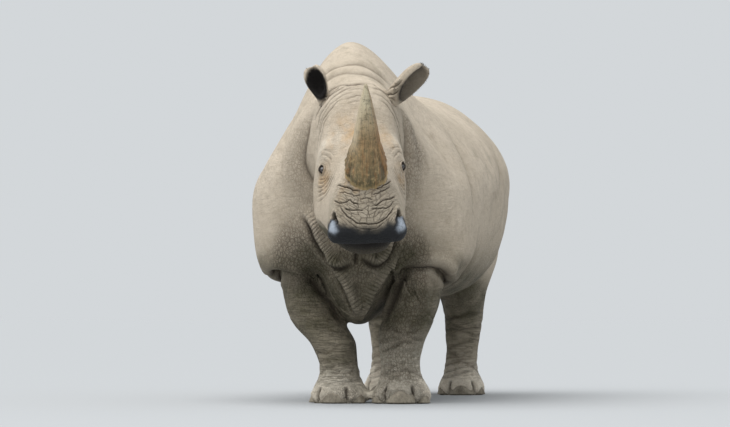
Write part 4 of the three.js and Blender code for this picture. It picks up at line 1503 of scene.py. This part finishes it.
def cracksAt(place, scale):  # 0 in the cracks between scales of skin
    node = addNode(place.id_data, "TexVoronoi", feature="DISTANCE_TO_EDGE", Vector=place, Scale=scale)
    return node.outputs[0]


def finishBump(shader, strength, distance, height):
    bump = addNode(height.id_data, "Bump", Strength=strength, Distance=distance, Height=height)
    height.id_data.links.new(bump.outputs[0], shader.inputs["Normal"])


hideLook = {
    "pale": (0.69, 0.595, 0.475),
    "base": (0.59, 0.505, 0.395),
    "dark": (0.42, 0.345, 0.255),
    "warm": (0.62, 0.40, 0.20),
    # dirt, and painted shade on the undersides, the chest and under the jaw
    "soilAndPaintedShade": (0.104, 0.095, 0.054),
    "paintedGrooveShade": (0.30, 0.27, 0.235),  # painted shade: how much darker the hide is in its cracks, rings, ripples and hollows
    "lips": (0.020, 0.021, 0.023),
    # painted highlight on the wet corners of the mouth
    "wetPaintedHighlight": (0.44, 0.49, 0.56),
    # paler hide, and a painted highlight over the eyes
    "dust": (0.84, 0.765, 0.64),
    # painted shade in the mouth's seam, under the lip, in the nostrils, the eyes and the cups of the ears
    "hollow": (0.010, 0.008, 0.007),
    # painted shade in folds, creases and seams
    "creases": (0.055, 0.042, 0.03),
    "roughness": 0.78,
    "specular": 0.22,
    "relief": 0.0042,
    # about how many of each there are in a metre
    "inMetre": {"blotches": 2.3, "stains": 4.2, "clouds": 7.5, "soilAndPaintedShade": 9, "warm": 15, "specks": 34,
                "grit": 190, "coarse": 72, "fine": 165, "pebbles": 230, "lines": 11, "rings": 9,
                "waver": 60, "wander": 24},
    # and how high each stands, beside the others
    "heights": {"pebbles": 0.28, "coarse": 1.3, "lines": 0.35, "rings": 1.2, "specks": 0.4, "ripples": 2.8},
}


def hideMaterial(look):
    material, tree, shader = startMaterial("hide")
    place = addNode(tree, "TexCoord").outputs["Object"]
    mark = {name: readMark(tree, name) for name in marks}
    cracks, rings, relief, rippleShare = (mark[name] for name in ("cracks", "rings", "relief", "rippleShare"))
    many, high = look["inMetre"], look["heights"]

    blotches = noiseAt(place, many["blotches"], 5, 0.6)
    specks = noiseAt(place, many["specks"], 5, 0.65)
    stains = noiseAt(stretched(place, (1, 1, 0.5)), many["stains"], 6, 0.7)
    color = mixColors(ramp(blotches, 0.38, 0.64), look["base"], look["pale"])
    color = addCoats(
        color, look,
        (ramp(noiseAt(place, many["clouds"], 6, 0.62), 0.52, 0.72, 0, 0.45), "dark"),
        (ramp(specks, 0.45, 0.72, 0, 0.5), "dark"),
        (ramp(noiseAt(place, many["grit"], 3, 0.7), 0.5, 0.66, 0, 0.45), "dark"),
        (ramp(stains, 0.56, 0.72, 0, 0.4), "soilAndPaintedShade"),
        (times(mark["warm"], ramp(noiseAt(place, many["warm"], 5, 0.6), 0.36, 0.66)), "warm"),
        # dirt, and painted shade on the undersides
        (times(mark["soilAndPaintedShade"], ramp(noiseAt(place, many["soilAndPaintedShade"], 5), 0.25, 0.7, 0.5, 1.0)), "soilAndPaintedShade"),
    )

    wander = addNode(tree, "TexNoise", Vector=place, Scale=many["wander"], Detail=4.0).outputs["Color"]
    sway = addNode(tree, "VectorMath", operation="MULTIPLY_ADD", i0=wander, i1=(0.014,) * 3, i2=place)
    bent = sway.outputs[0]
    coarse = ramp(cracksAt(stretched(bent, (1, 1, 0.62)), many["coarse"]), 0, 0.19)
    fine = ramp(cracksAt(stretched(bent, (1, 1, 0.8)), many["fine"]), 0, 0.22)
    pebbles = ramp(cracksAt(bent, many["pebbles"]), 0, 0.28)
    lines = noiseAt(stretched(bent, (1, 1, 5.5)), many["lines"], 4, 0.6)
    ringLines = noiseAt(stretched(bent, (0.9, 0.9, 7.5)), many["rings"], 3, 0.62)
    ridgeLines = mathNode("ABSOLUTE", mathNode("SUBTRACT", lines, 0.5))
    ridgeRings = mathNode("ABSOLUTE", mathNode("SUBTRACT", ringLines, 0.5))
    waver = timesPlus(noiseAt(place, many["waver"], 1), 0.004, mark["ripple"])
    ripple = mathNode("ABSOLUTE", mathNode("SINE", times(waver, math.pi / rippleSize)))

    # painted shade in the cracks, the leg rings and the ripples' troughs
    coarseDark = times(mathNode("SUBTRACT", 1.0, coarse), cracks)
    fineDark = times(mathNode("SUBTRACT", 1.0, fine), timesPlus(cracks, 0.5, 0.10))
    ringDark = times(times(ramp(ridgeRings, 0.0, 0.035, 1, 0), rings), 0.8)
    rippleDark = times(ramp(ripple, 0, 0.45, 0.75, 0), rippleShare)
    paintedGrooveShade = mathNode("MAXIMUM", mathNode("MAXIMUM", coarseDark, fineDark), ringDark)
    paintedGrooveShade = mathNode("MAXIMUM", times(paintedGrooveShade, timesPlus(rippleShare, -0.8, 1.0)), rippleDark)
    # paler at the feet, and a painted highlight over the eyes
    dust = times(times(mark["dust"], ramp(blotches, 0.3, 0.6, 0.6, 1)), ramp(specks, 0.62, 0.45, 0.5, 1))
    color = mixColors(dust, color, look["dust"])
    color = mixColors(times(paintedGrooveShade, 0.86), color, look["paintedGrooveShade"], "MULTIPLY")
    # painted shade in the skin's hollows
    color = mixColors(ramp(relief, 0.5, 1.0, 0, 0.7), color, look["paintedGrooveShade"], "MULTIPLY")
    color = addCoats(
        color, look,
        # painted highlight on the skin's ridges
        (ramp(relief, 0.5, 0.0, 0, 0.25), "pale"),
        # painted shade in the creases
        (times(mark["crease"], 0.75, clamp=True), "creases"),
        (mark["lips"], "lips"),
        # painted highlight on the corners of the mouth
        (times(mark["wetPaintedHighlight"], ramp(specks, 0.2, 0.5)), "wetPaintedHighlight"),
        # painted shade in the mouth, nostrils, eyes and ear cups
        (mark["hollow"], "hollow"),
    )
    setSocket(shader.inputs["Base Color"], color)

    dull = timesPlus(specks, 0.25, look["roughness"] - 0.12)
    wet = timesPlus(mark["wetPaintedHighlight"], 0.25, times(mark["lips"], 0.25))
    setSocket(shader.inputs["Roughness"], mathNode("SUBTRACT", dull, wet))

    height = times(fine, timesPlus(cracks, 0.6, 0.14))
    for layer, amount in (
        (pebbles, high["pebbles"]),
        (coarse, times(cracks, high["coarse"])),
        (ramp(ridgeLines, 0, 0.05), high["lines"]),
        (ramp(ridgeRings, 0, 0.05), times(rings, high["rings"])),
        (specks, high["specks"]),
        (ripple, times(rippleShare, high["ripples"])),
    ):
        height = timesPlus(layer, amount, height)
    finishBump(shader, 1.0, look["relief"], height)
    shader.inputs["Specular IOR Level"].default_value = look["specular"]
    return material


hornLook = {
    "tip": (0.43, 0.38, 0.26),
    "middle": (0.27, 0.18, 0.085),
    "low": (0.11, 0.092, 0.042),
    "straw": (0.52, 0.36, 0.17),
    # red-brown mottle, and painted shade down the horn's left side
    "rust": (0.30, 0.145, 0.05),
    "gap": (0.035, 0.027, 0.015),
    "collar": (0.47, 0.33, 0.15),
    # painted highlight down one side of the horn
    "paintedSideHighlight": (0.54, 0.45, 0.31),
    "roughness": 0.72,
    # about how many of each there are in a metre
    "inMetre": {"fibres": 330, "streaks": 75, "mottle": 42, "bands": 30, "blots": 55, "pits": 150},
}


def hornMaterial(look):
    material, tree, shader = startMaterial("horn")
    grain = addNode(tree, "Attribute", attribute_name="grain").outputs["Vector"]
    place = addNode(tree, "TexCoord").outputs["Object"]
    run, wear = readMark(tree, "run"), readMark(tree, "wear")
    sideOn = addNode(tree, "SeparateXYZ", Vector=grain).outputs["X"]
    many = look["inMetre"]
    fibres = noiseAt(stretched(grain, (1, 1, 0.22)), many["fibres"], 3, 0.6)
    streaks = noiseAt(stretched(grain, (1, 1, 0.35)), many["streaks"], 5, 0.65)
    mottle = noiseAt(stretched(grain, (1, 1, 1.6)), many["mottle"], 6, 0.7)
    bands = noiseAt(stretched(grain, (0.15, 0.15, 6)), many["bands"], 3, 0.6)
    blots = noiseAt(place, many["blots"], 6, 0.72)
    waver = timesPlus(mottle, 0.28, run)
    color = mixColors(ramp(waver, 0.22, 0.55), look["low"], look["middle"])
    color = addCoats(
        color, look,
        (ramp(waver, 0.62, 0.95), "tip"),
        (ramp(streaks, 0.5, 0.7, 0, 0.45), "straw"),
        (ramp(blots, 0.5, 0.62, 0, 0.7), "low"),
        (times(ramp(blots, 0.46, 0.36, 0, 0.6), ramp(run, 0.2, 0.8, 1, 0.2)), "straw"),
        (times(ramp(mottle, 0.52, 0.66, 0, 0.8), ramp(run, 0.15, 0.7, 1, 0.15)), "rust"),
        # a painted highlight down the horn's right side, and painted shade in red-brown down its left side
        (times(ramp(sideOn, -0.045, -0.08, 0, 0.8), ramp(run, 0.3, 0.5)), "paintedSideHighlight"),
        (times(ramp(sideOn, 0.05, 0.085, 0, 0.7), ramp(streaks, 0.4, 0.6, 0.3, 1)), "rust"),
        (ramp(bands, 0.55, 0.7, 0, 0.3), "gap"),
        (ramp(fibres, 0.46, 0.3, 0, 0.85), "gap"),
        (ramp(wear, 0.42, 0.1, 0, 0.6), "gap"),
        (ramp(timesPlus(streaks, -0.03, run), 0.08, 0.03, 0, 0.85), "collar"),
    )
    setSocket(shader.inputs["Base Color"], color)
    setSocket(shader.inputs["Roughness"], ramp(run, 0.5, 1, look["roughness"], look["roughness"] - 0.22))
    height = timesPlus(streaks, 0.8, times(fibres, 0.7))
    height = timesPlus(noiseAt(place, many["pits"], 3), 0.3, height)
    finishBump(shader, 0.7, 0.003, height)
    return material


nailLook = {
    "pale": (0.30, 0.262, 0.20),
    "dark": (0.14, 0.118, 0.085),
    "roughness": 0.7,
}


def nailMaterial(look):
    material, tree, shader = startMaterial("nail")
    place = addNode(tree, "TexCoord").outputs["Object"]
    lines = noiseAt(stretched(place, (1, 1, 0.12)), 130, 4, 0.65)
    blotches = noiseAt(place, 26, 5, 0.62)
    color = mixColors(ramp(blotches, 0.36, 0.62), look["dark"], look["pale"])
    color = addCoats(color, look, (ramp(lines, 0.5, 0.36, 0, 0.7), "dark"))
    setSocket(shader.inputs["Base Color"], color)
    roughness = ramp(lines, 0.3, 0.7, look["roughness"] + 0.12, look["roughness"] - 0.1)
    setSocket(shader.inputs["Roughness"], roughness)
    finishBump(shader, 0.5, 0.002, mathNode("ADD", lines, blotches))
    return material


eyeLook = {
    "pupil": (0.002, 0.002, 0.002),
    "iris": (0.045, 0.022, 0.010),
    "rim": (0.012, 0.008, 0.006),
    "white": (0.16, 0.11, 0.08),
    "roughness": 0.12,
    "coatRoughness": 0.03,
}


def eyeMaterial(look):
    material, tree, shader = startMaterial("eye")
    place = addNode(tree, "TexCoord").outputs["Object"]
    fromMiddle = readMark(tree, "pupil")
    color = mixColors(ramp(noiseAt(place, 900, 3), 0.35, 0.65), look["iris"], look["rim"])
    color = mixColors(ramp(fromMiddle, 0.26, 0.30), look["pupil"], color)
    color = addCoats(color, look, (ramp(fromMiddle, 0.60, 0.68), "rim"),
    (ramp(fromMiddle, 0.85, 1.1), "white"))
    setSocket(shader.inputs["Base Color"], color)
    shader.inputs["Roughness"].default_value = look["roughness"]
    shader.inputs["Coat Weight"].default_value = 1.0
    shader.inputs["Coat Roughness"].default_value = look["coatRoughness"]
    return material


bristleLook = {
    "root": (0.05, 0.042, 0.034),
    "end": (0.018, 0.014, 0.011),
}


def bristleMaterial(look):
    material, tree, shader = startMaterial("bristle")
    place = addNode(tree, "TexCoord").outputs["Object"]
    color = mixColors(ramp(readMark(tree, "run"), 0, 0.8), look["root"], look["end"])
    color = addCoats(color, look, (ramp(noiseAt(place, 60, 3), 0.4, 0.7, 0, 0.5), "root"))
    setSocket(shader.inputs["Base Color"], color)
    setSocket(shader.inputs["Roughness"], ramp(noiseAt(place, 300, 2), 0.3, 0.7, 0.45, 0.6))
    return material


# every piece rides on the still body, takes its finish and stands for its solids

def finishPiece(piece, material, slot, *nodes):
    piece.data.materials.clear()
    piece.data.materials.append(material)
    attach(piece, "root")
    if nodes:
        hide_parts(*nodes)


finishPiece(skin, hideMaterial(hideLook), "hide", "trunk", "neck", "head", *legNames, *thinNames)
hornFinish, nailFinish = hornMaterial(hornLook), nailMaterial(nailLook)
eyeFinish, bristleFinish = eyeMaterial(eyeLook), bristleMaterial(bristleLook)
for name, horn in horns.items():
    finishPiece(horn, hornFinish, "horn", "horn_" + name)
for node, nail in nails:
    finishPiece(nail, nailFinish, "nail", node)
for ball, name in zip(eyeballs, ("eye_left", "eye_right")):
    finishPiece(ball, eyeFinish, "eye", name)
for hair in hairs:
    finishPiece(hair, bristleFinish, "bristle")
finishPiece(tailHair, bristleFinish, "bristle", "tail_tuft")
print("pieces finished")
